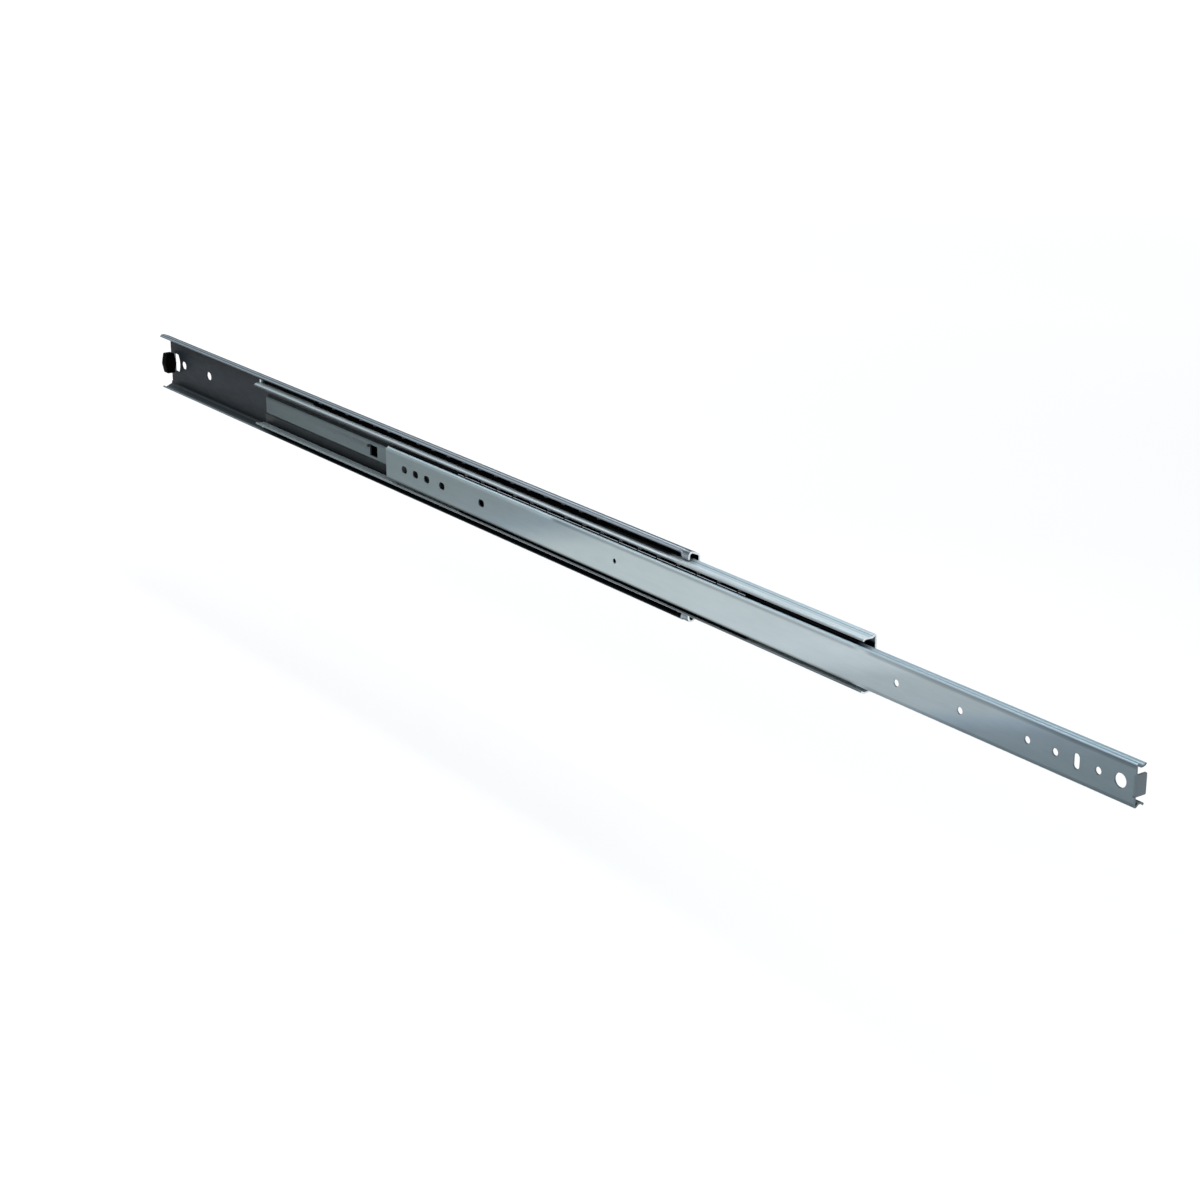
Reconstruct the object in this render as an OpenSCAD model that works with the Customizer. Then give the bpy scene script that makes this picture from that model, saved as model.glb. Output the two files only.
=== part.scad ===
// Full-extension drawer slide, one hand, in three nested rolled members.
// The cabinet member screws to the cabinet side, the drawer member to the drawer.
// The intermediate member runs between them on four rows of caged balls.
// Frame: +X is the way the drawer pulls out, +Z is up, the cabinet side is at y = 0.
// Sections are drawn as [depth, height], depth measured from the cabinet side.

/* [Members] */
// length of the cabinet member
cabinet_length = 918.2; // [600:0.1:1200]
// length of the intermediate member
intermediate_length = 910.5; // [560:0.1:1180]
// length of the drawer member
drawer_length = 914.4; // [580:0.1:1190]
// depth of the whole slide, the side space it fills
slide_depth = 19.05; // [18.6:0.05:20]
// sheet thickness of the cabinet member
cabinet_sheet = 1.6; // [1.2:0.05:1.7]
// sheet thickness of the intermediate member
intermediate_sheet = 1.5; // [1.2:0.05:1.6]
// sheet thickness of the drawer member
drawer_sheet = 1.5; // [1.2:0.05:1.6]
// distance of the first front cabinet hole from the front end
front_margin = 37; // [20:0.5:60]

/* [Pose] */
// how far the intermediate member stands out of its closed place
intermediate_out = 212.9; // [0:0.1:418]
// how far the drawer member stands out of its closed place in the intermediate member
drawer_out = 259.4; // [0:0.1:494]
// travel of the intermediate member in the cabinet member
intermediate_travel = 418.9; // [380:0.1:420]
// travel of the drawer member in the intermediate member
drawer_travel = 495.4; // [440:0.1:497]

/* [Balls and races] */
// diameter of every ball
ball_diameter = 6.35; // [6:0.05:6.5]
// clearance between ball and race
race_clearance = 0.05; // [0.01:0.01:0.1]
// depth of the outer ball rows
outer_row_depth = 8.6; // [8.4:0.05:8.8]
// height of the outer ball rows over the middle of the slide
outer_row_height = 24.4; // [24:0.05:25]
// depth of the inner ball rows
inner_row_depth = 13.4; // [13.2:0.05:13.5]
// height of the inner ball rows over the middle of the slide
inner_row_height = 16.6; // [16.4:0.05:16.8]
// distance from ball to ball along a cage
ball_pitch = 25.4; // [20:0.1:26]
// balls in an outer cage
outer_balls = 19; // [8:1:19]
// balls in an inner cage
inner_balls = 16; // [7:1:16]
// clearance between ball and cage pocket
pocket_clearance = 0.1; // [0.05:0.01:0.12]

/* [Cages] */
// thickness of the cage strips
cage_strip = 0.9; // [0.7:0.05:1]
// thickness of the standing rail of a cage
cage_rail = 0.75; // [0.6:0.05:0.8]
// distance from a ball row to the inner edge of its cage
cage_inside = 4.2; // [3.8:0.1:4.2]
// distance from the last ball to the end of an outer cage
outer_margin = 8.9; // [6:0.1:10]
// distance from the last ball to the end of an inner cage
inner_margin = 9.5; // [6:0.1:10]
// how far the rail of an outer cage reaches below its ball row
outer_rail_below = 2; // [1:0.1:2.2]
// how far the rail of an outer cage reaches above its ball row
outer_rail_above = 1.2; // [0.8:0.1:1.4]
// how far the rail of an inner cage reaches below its ball row
inner_rail_below = 0.65; // [0.5:0.05:0.8]
// how far the rail of an inner cage reaches above its ball row
inner_rail_above = 1.1; // [0.8:0.05:1.2]
// width of the slits in the rail of an inner cage
inner_rail_slit = 1.6; // [1:0.1:3]

/* [Cabinet section] */
// where the outer race leaves the sloping flange, in degrees
cabinet_race_start = 113; // [110:0.5:118]
// where the outer race ends at the lip, in degrees
cabinet_race_end = 35; // [30:1:50]
// bend radius between web and flange
cabinet_bend = 2.4; // [1.8:0.1:3.5]
// how far the web is set back at the rear, between the flanges
web_set_back = 2.2; // [0.5:0.1:4]
// half height of the set-back part
set_back_height = 22.5; // [18:0.1:23.5]
// length of the stop lugs at the front end
stop_lug_length = 9.2; // [6:0.1:10]
// height of the lower edge of the stop lug
stop_lug_height = 22.7; // [22.4:0.05:23.5]
// depth of the stop lug at its edge
stop_lug_depth = 10.95; // [10.6:0.05:11.2]
// bend radius over the stop lug
stop_lug_bend = 2.7; // [2:0.1:3]
// how far the stop lug leans outward from its top to its edge
stop_lug_lean = 0.6; // [0.3:0.05:0.8]

/* [Intermediate section] */
// depth of the middle of the central web
central_web_depth = 8.6; // [8.2:0.05:9]
// half height of the central web
central_web_height = 7.6; // [6:0.1:8.5]
// depth of the middle of the side walls
side_wall_depth = 4.5; // [4.3:0.05:4.8]
// height at which the side wall starts
side_wall_height = 10.4; // [9.8:0.1:12]
// bend radius between central web and side wall
web_bend = 1.6; // [1.1:0.1:2]
// where the outer race starts at the ear, in degrees
ear_angle = 230; // [228:0.5:234]
// bend radius of the ear
ear_bend = 0.9; // [0.82:0.01:0.93]
// where the inner race ends at the lip, in degrees
intermediate_race_end = 38; // [34:1:50]
// length of the notch at the rear of the central web, which makes room for the bumper
web_notch = 10.5; // [10.3:0.1:14]
// half height of the notch
web_notch_height = 11.3; // [11.3:0.1:12]

/* [Drawer section] */
// where the inner race starts at the rolled edge, in degrees
edge_angle = 320; // [317:0.5:321]
// bend radius of the rolled edge
edge_bend = 1; // [0.85:0.01:1.04]
// where the inner race ends at the tip, in degrees
drawer_race_end = 214; // [210:1:225]
// half height of the bent tab at the front end
tab_half_height = 7.6; // [5:0.1:8.5]
// depth the tab reaches back to
tab_reach = 8.7; // [8.2:0.1:9.1]
// bend radius inside the tab
tab_bend = 1.2; // [0.6:0.1:2]
// corner radius of the tab
tab_corner = 1; // [0.5:0.1:2]
// radius of the two rear corners of the web
rear_corner = 2.5; // [1:0.1:4]

/* [Drawer holes] */
// diameter of the front access hole
access_hole = 10; // [8:0.1:11]
// distance of the access hole from the front end
access_hole_at = 12.7; // [10:0.1:16]
// diameter of the screw holes
screw_hole = 5.3; // [4.5:0.1:6]
// distance of the first screw hole from the front end
first_screw_at = 31.75; // [28:0.05:36]
// distance of the upright slot from the front end
upright_slot_at = 50.8; // [45:0.1:56]
// length of the upright slot
upright_slot_length = 11; // [8:0.1:13]
// distance of the second screw hole from the front end
second_screw_at = 69.85; // [66:0.05:75]
// distance of the first hole of the row of three from the front end
row_at = 95.25; // [88:0.05:110]
// spacing of the row of three
row_spacing = 64; // [50:0.1:70]
// diameter of the pilot hole
pilot_hole = 4.2; // [3.5:0.1:5]
// distance of the pilot hole from the front end
pilot_hole_at = 558.8; // [540:0.1:580]
// length of the lengthwise slots
long_slot_length = 9.2; // [7:0.1:12]
// width of the lengthwise slots
long_slot_width = 6.3; // [4.5:0.1:7]
// distance of the first lengthwise slot from the rear end
first_slot_at = 159.25; // [150:0.05:170]
// distance of the second lengthwise slot from the rear end
second_slot_at = 95.25; // [88:0.05:105]
// distance of the last slot of the rear row from the rear end
rear_row_at = 31.75; // [24:0.05:40]
// spacing of the rear row of three slots
rear_row_spacing = 19.05; // [15:0.05:22]

/* [Cabinet holes] */
// diameter of the three front holes
cabinet_hole = 6.4; // [5:0.1:8]
// spacing of the three front holes
cabinet_hole_spacing = 64; // [50:0.1:80]
// length of the rear slots
cabinet_slot_length = 10.5; // [9:0.1:13]
// width of the rear slots
cabinet_slot_width = 8.2; // [6:0.1:9]
// distance of the rearmost slot from the rear end
cabinet_slot_at = 31.3; // [30:0.1:36]
// spacing of the rear slots
cabinet_slot_spacing = 57.15; // [45:0.05:65]

/* [Rear bumper] */
// distance of the bumper's front face from the rear end of the cabinet member
bumper_at = 14.7; // [14.2:0.1:14.8]
// length of the bumper along the slide
bumper_length = 9.6; // [7:0.1:9.8]
// height of the bumper
bumper_height = 21; // [16:0.1:22]
// depth the bumper reaches to
bumper_reach = 14.6; // [12:0.1:15.5]
// how far the bumper's two blunt points stand out at mid-height
bumper_point = 2.2; // [1:0.1:3]
// half height of the holder tab inside the bumper
holder_half_height = 5.5; // [4:0.1:6]
// depth the holder tab reaches to
holder_reach = 10.5; // [8:0.1:11]
// clearance between the holder tab and the bumper
holder_fit = 0.05; // [0.02:0.01:0.1]
// distance of the window's rear edge from the rear end
window_at = 10.2; // [9.9:0.1:10.6]
// length of the window behind the bumper
window_length = 12.4; // [11:0.1:15]
// half height of the window
window_half_height = 9.6; // [7:0.1:11]
// how far the front edge of the window bows out
window_bow = 3.4; // [2:0.1:4]

/* [Lanced lug] */
// distance of the lanced window from the rear end of the intermediate member
lance_at = 212.1; // [190:0.1:240]
// length of the lanced window
lance_length = 13.4; // [8:0.1:16]
// height of the lanced window
lance_height = 10.4; // [6:0.1:11]
// how far the lug stands out of the web
lug_out = 3; // [2:0.1:3.5]
// height of the lug
lug_height = 2.6; // [2:0.1:4]

/* [Cage stops] */
// length of the rear stops of the intermediate and drawer members
rear_stop_length = 3; // [2:0.1:4]
// depth from the outer ball row back to the rear stop's inner side
outer_stop_inside = 1; // [0.8:0.1:1.2]
// depth from the outer ball row out to the rear stop's outer side
outer_stop_outside = 1.4; // [1:0.1:1.6]
// distance of the front stops of the inner cages from the front end
inner_stop_at = 12; // [10:0.1:16]
// length of the front stops of the inner cages
inner_stop_length = 2; // [1.5:0.1:3]
// depth from the inner ball row back to the front stop's inner side
inner_stop_inside = 4.4; // [4.2:0.05:4.5]
// depth from the inner ball row back to the front stop's outer side
inner_stop_outside = 3.2; // [3.1:0.05:3.4]
// how far the front stop reaches below the inner ball row
inner_stop_below = 0.4; // [0.2:0.05:0.6]
// depth from the inner ball row back to the drawer's stop, inner side
drawer_stop_inside = 4.1; // [4:0.05:4.2]
// depth from the inner ball row back to the drawer's stop, outer side
drawer_stop_outside = 2.7; // [2.4:0.05:2.9]
// how far the drawer's stop reaches below the inner ball row
drawer_stop_below = 3; // [2.6:0.1:3.2]
// how far the drawer's stop reaches above the inner ball row
drawer_stop_above = 0.6; // [0.4:0.05:0.8]

/* [Hidden] */
ball_r = ball_diameter / 2;
race_r = ball_r + race_clearance;
cabinet_race = race_r + cabinet_sheet / 2;
intermediate_race = race_r + intermediate_sheet / 2;
drawer_race = race_r + drawer_sheet / 2;
outer_row = [outer_row_depth, outer_row_height];
inner_row = [inner_row_depth, inner_row_height];
end_gap = 0.3;
cut_over = 1;
rest_gap = 0.1;
rail_gap = 0.05;
arc_steps = 10;
bend_steps = 6;

// Front ends along X, in the drawn pose. The origin is the middle one of the three front holes.
cabinet_front = front_margin + cabinet_hole_spacing;
cabinet_rear = cabinet_front - cabinet_length;
drawer_set_back = 1.3;
drawer_front = cabinet_front - drawer_set_back + intermediate_out + drawer_out;
drawer_rear = drawer_front - drawer_length;
intermediate_set_back = drawer_set_back + drawer_sheet + end_gap;
intermediate_front = cabinet_front - intermediate_set_back + intermediate_out;
intermediate_rear = intermediate_front - intermediate_length;

// The cages roll at half speed, and reach their front stops at full travel.
stop_gap = 0.2;
outer_cage_length = (outer_balls - 1) * ball_pitch + 2 * outer_margin;
inner_cage_length = (inner_balls - 1) * ball_pitch + 2 * inner_margin;
outer_left = intermediate_travel - intermediate_out;
inner_left = drawer_travel - drawer_out;
outer_cage_front = cabinet_front - stop_lug_length - stop_gap - outer_left / 2;
inner_cage_front = intermediate_front - inner_stop_at - inner_stop_length - stop_gap - inner_left / 2;
outer_first_ball = outer_cage_front - outer_margin;
inner_first_ball = inner_cage_front - inner_margin;
outer_group = floor(outer_balls / 3);
inner_group = floor(inner_balls / 3);

zinc = [0.66, 0.71, 0.74];
cage_black = [0.08, 0.08, 0.09];
cage_grey = [0.55, 0.58, 0.6];
ball_steel = [0.8, 0.82, 0.84];
rubber = [0.03, 0.03, 0.03];

// Direction from p to q, as a unit vector.
function heading(p, q) = (q - p) / norm(q - p);

// The direction u turned by an angle to the left.
function turned(u, angle) = [u[0] * cos(angle) - u[1] * sin(angle), u[0] * sin(angle) + u[1] * cos(angle)];

// Point on a circle.
function on_circle(centre, r, angle) = centre + r * [cos(angle), sin(angle)];

// A bend of centreline radius r in the corner at b, as stations [point, left normal].
// The tangent length is r times the tangent of half the turn.
function bend(a, b, c, r, steps) =
  let (u = heading(a, b), v = heading(b, c))
  let (turn = atan2(u[0] * v[1] - u[1] * v[0], u * v))
  let (side = sign(turn), left = turned(u, 90))
  let (centre = b - r * tan(abs(turn) / 2) * u + side * r * left)
  [for (i = [0:steps]) let (n = turned(left, turn * i / steps)) [centre - side * r * n, n]];

// An arc about a ball row from one angle to another, as stations.
// Falling angles run clockwise, with the ball on the right of the path.
function race(centre, r, from, to, steps) =
  let (side = sign(to - from))
  [for (i = [0:steps])
    let (angle = from + (to - from) * i / steps)
    [on_circle(centre, r, angle), -side * [cos(angle), sin(angle)]]];

// A straight run's single station, with the left normal of the run from p to q.
function station(at, p, q) = [at, turned(heading(p, q), 90)];

// The strip outline: all stations shifted left by half the sheet, back along the right.
function strip(stations, sheet) = concat(
  [for (s = stations) s[0] + s[1] * sheet / 2],
  [for (i = [len(stations) - 1:-1:0]) stations[i][0] - stations[i][1] * sheet / 2]);

// The stations of the lower half, mirrored from the upper half and run backwards.
function lower_half(stations) =
  [for (i = [len(stations) - 1:-1:0])
    [[stations[i][0][0], -stations[i][0][1]], [stations[i][1][0], -stations[i][1][1]]]];

// A whole section from the upper half: lower half first, then the web, then the upper half.
function section(upper, sheet) = strip(concat(lower_half(upper), upper), sheet);

// Where the line through p with direction u comes to a given depth.
function at_depth(p, u, depth) = p + u * (depth - p[0]) / u[0];

// Cabinet member: web corner on the tangent of the race, so flange and race run together.
cabinet_mid = cabinet_sheet / 2;
flange_foot = on_circle(outer_row, cabinet_race, cabinet_race_start);
flange_run = turned([cos(cabinet_race_start), sin(cabinet_race_start)], -90);
cabinet_corner = at_depth(flange_foot, flange_run, cabinet_mid);
cabinet_web_bend = bend([cabinet_mid, 0], cabinet_corner, flange_foot, cabinet_bend, bend_steps);
cabinet_upper = concat(cabinet_web_bend,
  race(outer_row, cabinet_race, cabinet_race_start, cabinet_race_end, arc_steps));

// Front end of the cabinet member: the lip is pressed down into a stop lug.
lug_end = [stop_lug_depth, stop_lug_height];
lug_top = at_depth(flange_foot, heading(cabinet_corner, flange_foot), stop_lug_depth - stop_lug_lean);
lug_upper = concat(cabinet_web_bend,
  bend(cabinet_corner, lug_top, lug_end, stop_lug_bend, bend_steps),
  [station(lug_end, lug_top, lug_end)]);

// Intermediate member: the valley race and the crest race are joined by their cross tangent.
row_step = inner_row - outer_row;
row_angle = atan2(row_step[1], row_step[0]);
cross_angle = row_angle - acos(2 * intermediate_race / norm(row_step)) + 360;
ear_foot = on_circle(outer_row, intermediate_race, ear_angle);
ear_run = turned([cos(ear_angle), sin(ear_angle)], 90);
ear_corner = at_depth(ear_foot, ear_run, side_wall_depth);
web_edge = [central_web_depth, central_web_height];
wall_foot = [side_wall_depth, side_wall_height];
intermediate_upper = concat(
  bend([central_web_depth, 0], web_edge, wall_foot, web_bend, bend_steps),
  bend(web_edge, wall_foot, ear_corner, web_bend, bend_steps),
  bend(wall_foot, ear_corner, ear_foot, ear_bend, bend_steps),
  race(outer_row, intermediate_race, ear_angle, cross_angle, arc_steps),
  race(inner_row, intermediate_race, cross_angle - 180, intermediate_race_end, arc_steps));

// Drawer member: the rolled edge lies on the tangent of the groove under the inner balls.
drawer_mid = slide_depth - drawer_sheet / 2;
groove_foot = on_circle(inner_row, drawer_race, edge_angle);
edge_corner = at_depth(groove_foot, turned([cos(edge_angle), sin(edge_angle)], -90), drawer_mid);
drawer_upper = concat(
  bend([drawer_mid, 0], edge_corner, groove_foot, edge_bend, bend_steps),
  race(inner_row, drawer_race, edge_angle, drawer_race_end, arc_steps));

// Extrude a section [depth, height] along X between two ends.
module run(x_from, x_to) {
  translate([x_from, 0, 0])
    rotate([90, 0, 90])
      linear_extrude(height = x_to - x_from)
        mirror([1, 0])
          children();
}

// Round hole through a web of the given depth range.
module web_hole(x, z, d, deep) {
  translate([x, cut_over, z])
    rotate([90, 0, 0])
      cylinder(h = deep + 2 * cut_over, d = d, $fn = 48);
}

// Slot through a web: two round ends and the run between them.
module web_slot(x, z, d, span_x, span_z, deep) {
  half_x = span_x > 0 ? (span_x - d) / 2 : 0;
  half_z = span_z > 0 ? (span_z - d) / 2 : 0;
  for (s = [-1, 1])
    web_hole(x + s * half_x, z + s * half_z, d, deep);
  run_x = span_x > 0 ? span_x - d : d;
  run_z = span_z > 0 ? span_z - d : d;
  translate([x - run_x / 2, -deep - cut_over, z - run_z / 2])
    cube([run_x, deep + 2 * cut_over, run_z]);
}

// Plate lying in the web, drawn as [x, z] outline between two depths.
module plate(depth_from, depth_to) {
  translate([0, -depth_from, 0])
    rotate([90, 0, 0])
      linear_extrude(height = depth_to - depth_from)
        children();
}

// Holder for the bumper: a tab turned out of the web behind its window.
bumper_front = cabinet_rear + bumper_at;
bumper_rear = bumper_front - bumper_length;
window_rear = cabinet_rear + window_at;
holder_rear = window_rear - cabinet_sheet;

// Window with a straight rear edge and a bowed front edge.
module bumper_window() {
  bow_r = (window_half_height * window_half_height + window_bow * window_bow) / (2 * window_bow);
  intersection() {
    translate([window_rear, -window_half_height])
      square([window_length, 2 * window_half_height]);
    translate([window_rear + window_length - bow_r, 0])
      circle(r = bow_r, $fn = 96);
  }
}

module cabinet_member() {
  race_end = cabinet_front - stop_lug_length;
  color(zinc) {
    difference() {
      run(cabinet_rear, race_end) polygon(section(cabinet_upper, cabinet_sheet));
      plate(-cut_over, cabinet_sheet + cut_over) bumper_window();
      plate(-cut_over, cabinet_sheet + cut_over)
        translate([cabinet_rear - cut_over, -set_back_height])
          square([web_set_back + cut_over, 2 * set_back_height]);
      for (i = [0:1])
        web_slot(cabinet_rear + cabinet_slot_at + i * cabinet_slot_spacing, 0,
          cabinet_slot_width, cabinet_slot_length, 0, cabinet_sheet);
      for (i = [-1:1])
        web_hole(i * cabinet_hole_spacing, 0, cabinet_hole, cabinet_sheet);
    }
    run(race_end, cabinet_front) polygon(section(lug_upper, cabinet_sheet));
    translate([holder_rear, -holder_reach, -holder_half_height])
      cube([cabinet_sheet, holder_reach, 2 * holder_half_height]);
  }
}

// Six-sided rubber block with its points at mid-height, pushed over the holder tab.
module rear_bumper() {
  base = cabinet_sheet + rest_gap;
  half = bumper_height / 2;
  color(rubber)
    difference() {
      run(bumper_rear, bumper_front)
        polygon([[base, 0], [base + bumper_point, -half], [bumper_reach - bumper_point, -half],
          [bumper_reach, 0], [bumper_reach - bumper_point, half], [base + bumper_point, half]]);
      translate([holder_rear - holder_fit, -holder_reach - holder_fit, -holder_half_height - holder_fit])
        cube([cabinet_sheet + 2 * holder_fit, holder_reach + cut_over,
          2 * (holder_half_height + holder_fit)]);
    }
}

// Small pressed block on a sheet, used as a stop for a cage.
module pressed_stop(x_from, x_to, depth_from, depth_to, z_from, z_to) {
  for (s = [0, 1])
    mirror([0, 0, s])
      translate([x_from, -depth_to, z_from])
        cube([x_to - x_from, depth_to - depth_from, z_to - z_from]);
}

module intermediate_member() {
  web_face = central_web_depth + intermediate_sheet / 2;
  web_back = central_web_depth - intermediate_sheet / 2;
  valley_z = outer_row_height - intermediate_race;
  lance_x = intermediate_rear + lance_at;
  inner_stop_x = intermediate_front - inner_stop_at;
  color(zinc) {
    difference() {
      run(intermediate_rear, intermediate_front)
        polygon(section(intermediate_upper, intermediate_sheet));
      plate(web_back - cut_over, web_face + cut_over)
        translate([lance_x, -lance_height / 2])
          square([lance_length, lance_height]);
      plate(0, web_face + cut_over)
        translate([intermediate_rear - cut_over, -web_notch_height])
          square([web_notch + cut_over, 2 * web_notch_height]);
    }
    translate([lance_x - intermediate_sheet, -web_face - lug_out, lance_height / 2 - lug_height])
      cube([intermediate_sheet, lug_out + intermediate_sheet, lug_height]);
    pressed_stop(intermediate_rear, intermediate_rear + rear_stop_length,
      outer_row_depth - outer_stop_inside, outer_row_depth + outer_stop_outside, valley_z, outer_row_height);
    pressed_stop(inner_stop_x - inner_stop_length, inner_stop_x,
      inner_row_depth - inner_stop_inside, inner_row_depth - inner_stop_outside,
      inner_row_height - inner_stop_below, valley_z);
  }
}

module drawer_member() {
  tab_x = drawer_front - drawer_sheet;
  bend_out = tab_bend + drawer_sheet;
  color(zinc) {
    difference() {
      run(drawer_rear, drawer_front) polygon(section(drawer_upper, drawer_sheet));
      web_hole(drawer_front - access_hole_at, 0, access_hole, slide_depth);
      for (at = [first_screw_at, second_screw_at])
        web_hole(drawer_front - at, 0, screw_hole, slide_depth);
      web_slot(drawer_front - upright_slot_at, 0, screw_hole, 0, upright_slot_length, slide_depth);
      for (i = [0:2])
        web_hole(drawer_front - row_at - i * row_spacing, 0, screw_hole, slide_depth);
      web_hole(drawer_front - pilot_hole_at, 0, pilot_hole, slide_depth);
      for (at = [first_slot_at, second_slot_at, for (i = [0:2]) rear_row_at + i * rear_row_spacing])
        web_slot(drawer_rear + at, 0, long_slot_width, long_slot_length, 0, slide_depth);
      translate([drawer_front - bend_out, -slide_depth - cut_over, -tab_half_height])
        cube([bend_out + cut_over, drawer_sheet + 2 * cut_over, 2 * tab_half_height]);
      plate(edge_inside, slide_depth + cut_over)
        for (s = [0, 1])
          mirror([0, s])
            rear_corner_cut();
    }
    translate([0, 0, -tab_half_height])
      linear_extrude(height = 2 * tab_half_height)
        bent_tab_outline(tab_x, bend_out);
    tab_end(tab_x);
    pressed_stop(drawer_rear, drawer_rear + rear_stop_length,
      inner_row_depth - drawer_stop_inside, inner_row_depth - drawer_stop_outside,
      inner_row_height - drawer_stop_below, inner_row_height + drawer_stop_above);
  }
}

// What is trimmed off a rear corner of the drawer member: a square less its quarter circle.
edge_inside = slide_depth - drawer_sheet - edge_bend;
module rear_corner_cut() {
  difference() {
    translate([drawer_rear - cut_over, edge_corner[1] - rear_corner])
      square([rear_corner + cut_over, rear_corner + drawer_sheet]);
    translate([drawer_rear + rear_corner, edge_corner[1] - rear_corner])
      circle(r = rear_corner, $fn = 48);
  }
}

// The tab seen from above: a quarter bend at the web, then straight back to its corners.
module bent_tab_outline(tab_x, bend_out) {
  centre = [drawer_front - bend_out, -slide_depth + bend_out];
  intersection() {
    difference() {
      translate(centre) circle(r = bend_out, $fn = 64);
      translate(centre) circle(r = tab_bend, $fn = 64);
    }
    translate([centre[0], centre[1] - bend_out])
      square([bend_out, bend_out]);
  }
  translate([tab_x, centre[1]])
    square([drawer_sheet, -tab_reach - tab_corner - centre[1]]);
}

// The last stretch of the tab, with its two corners rounded.
module tab_end(tab_x) {
  wide = 2 * (tab_half_height - tab_corner);
  translate([tab_x, 0, 0])
    rotate([90, 0, 90])
      linear_extrude(height = drawer_sheet) {
        translate([-tab_reach - tab_corner, -wide / 2])
          square([tab_corner, wide]);
        for (s = [-1, 1])
          intersection() {
            translate([-tab_reach - tab_corner, s * wide / 2])
              circle(r = tab_corner, $fn = 32);
            translate([-tab_reach - tab_corner, s > 0 ? wide / 2 : -tab_half_height])
              square([tab_corner, tab_corner]);
          }
      }
}

// Cage of one ball row: a strip at the height of the ball centres with a pocket for each ball.
// The outer edge is a standing rail, which the inner cages have slit at each ball.
module ball_cage(first_x, count, margin, row, inside, rail_low, rail_high, notch) {
  strip_t = cage_strip;
  rail_t = cage_rail;
  rail_in = row[0] + ball_r + pocket_clearance + rail_gap;
  front_x = first_x + margin;
  rear_x = first_x - (count - 1) * ball_pitch - margin;
  pocket = ball_r + pocket_clearance;
  difference() {
    run(rear_x, front_x)
      polygon([[inside, row[1] - strip_t / 2], [rail_in, row[1] - strip_t / 2],
        [rail_in, rail_low], [rail_in + rail_t, rail_low], [rail_in + rail_t, rail_high],
        [rail_in, rail_high], [rail_in, row[1] + strip_t / 2], [inside, row[1] + strip_t / 2]]);
    for (i = [0:count - 1])
      translate([first_x - i * ball_pitch, -row[0], row[1] - strip_t])
        cylinder(h = 2 * strip_t, r = pocket, $fn = 48);
    if (notch > 0)
      for (i = [0:count - 1])
        translate([first_x - i * ball_pitch - notch / 2, -rail_in - rail_t - cut_over, rail_low - cut_over])
          cube([notch, rail_t + cut_over, rail_high - rail_low + 2 * cut_over]);
  }
}

// Balls from number a to number b of one row.
module ball_row(first_x, row, a, b) {
  color(ball_steel)
    for (i = [a:b])
      translate([first_x - i * ball_pitch, -row[0], row[1]])
        sphere(r = ball_r, $fn = 32);
}

module outer_cage_upper() {
  color(cage_black)
    ball_cage(outer_first_ball, outer_balls, outer_margin, outer_row, outer_row_depth - cage_inside,
      outer_row_height - outer_rail_below, outer_row_height + outer_rail_above, 0);
}

module outer_cage_lower() {
  mirror([0, 0, 1])
    outer_cage_upper();
}

module inner_cage_upper() {
  color(cage_grey)
    ball_cage(inner_first_ball, inner_balls, inner_margin, inner_row, inner_row_depth - cage_inside,
      inner_row_height - inner_rail_below, inner_row_height + inner_rail_above, inner_rail_slit);
}

module inner_cage_lower() {
  mirror([0, 0, 1])
    inner_cage_upper();
}

module outer_balls_upper_front() { ball_row(outer_first_ball, outer_row, 0, outer_group - 1); }
module outer_balls_upper_middle() { ball_row(outer_first_ball, outer_row, outer_group, 2 * outer_group - 1); }
module outer_balls_upper_rear() { ball_row(outer_first_ball, outer_row, 2 * outer_group, outer_balls - 1); }
module outer_balls_lower_front() { mirror([0, 0, 1]) outer_balls_upper_front(); }
module outer_balls_lower_middle() { mirror([0, 0, 1]) outer_balls_upper_middle(); }
module outer_balls_lower_rear() { mirror([0, 0, 1]) outer_balls_upper_rear(); }
module inner_balls_upper_front() { ball_row(inner_first_ball, inner_row, 0, inner_group - 1); }
module inner_balls_upper_middle() { ball_row(inner_first_ball, inner_row, inner_group, 2 * inner_group - 1); }
module inner_balls_upper_rear() { ball_row(inner_first_ball, inner_row, 2 * inner_group, inner_balls - 1); }
module inner_balls_lower_front() { mirror([0, 0, 1]) inner_balls_upper_front(); }
module inner_balls_lower_middle() { mirror([0, 0, 1]) inner_balls_upper_middle(); }
module inner_balls_lower_rear() { mirror([0, 0, 1]) inner_balls_upper_rear(); }

cabinet_member();
rear_bumper();
intermediate_member();
drawer_member();
outer_cage_upper();
outer_cage_lower();
inner_cage_upper();
inner_cage_lower();
outer_balls_upper_front();
outer_balls_upper_middle();
outer_balls_upper_rear();
outer_balls_lower_front();
outer_balls_lower_middle();
outer_balls_lower_rear();
inner_balls_upper_front();
inner_balls_upper_middle();
inner_balls_upper_rear();
inner_balls_lower_front();
inner_balls_lower_middle();
inner_balls_lower_rear();
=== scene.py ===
import bpy
import math
import numpy as np
from mathutils import Matrix, Vector


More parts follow.
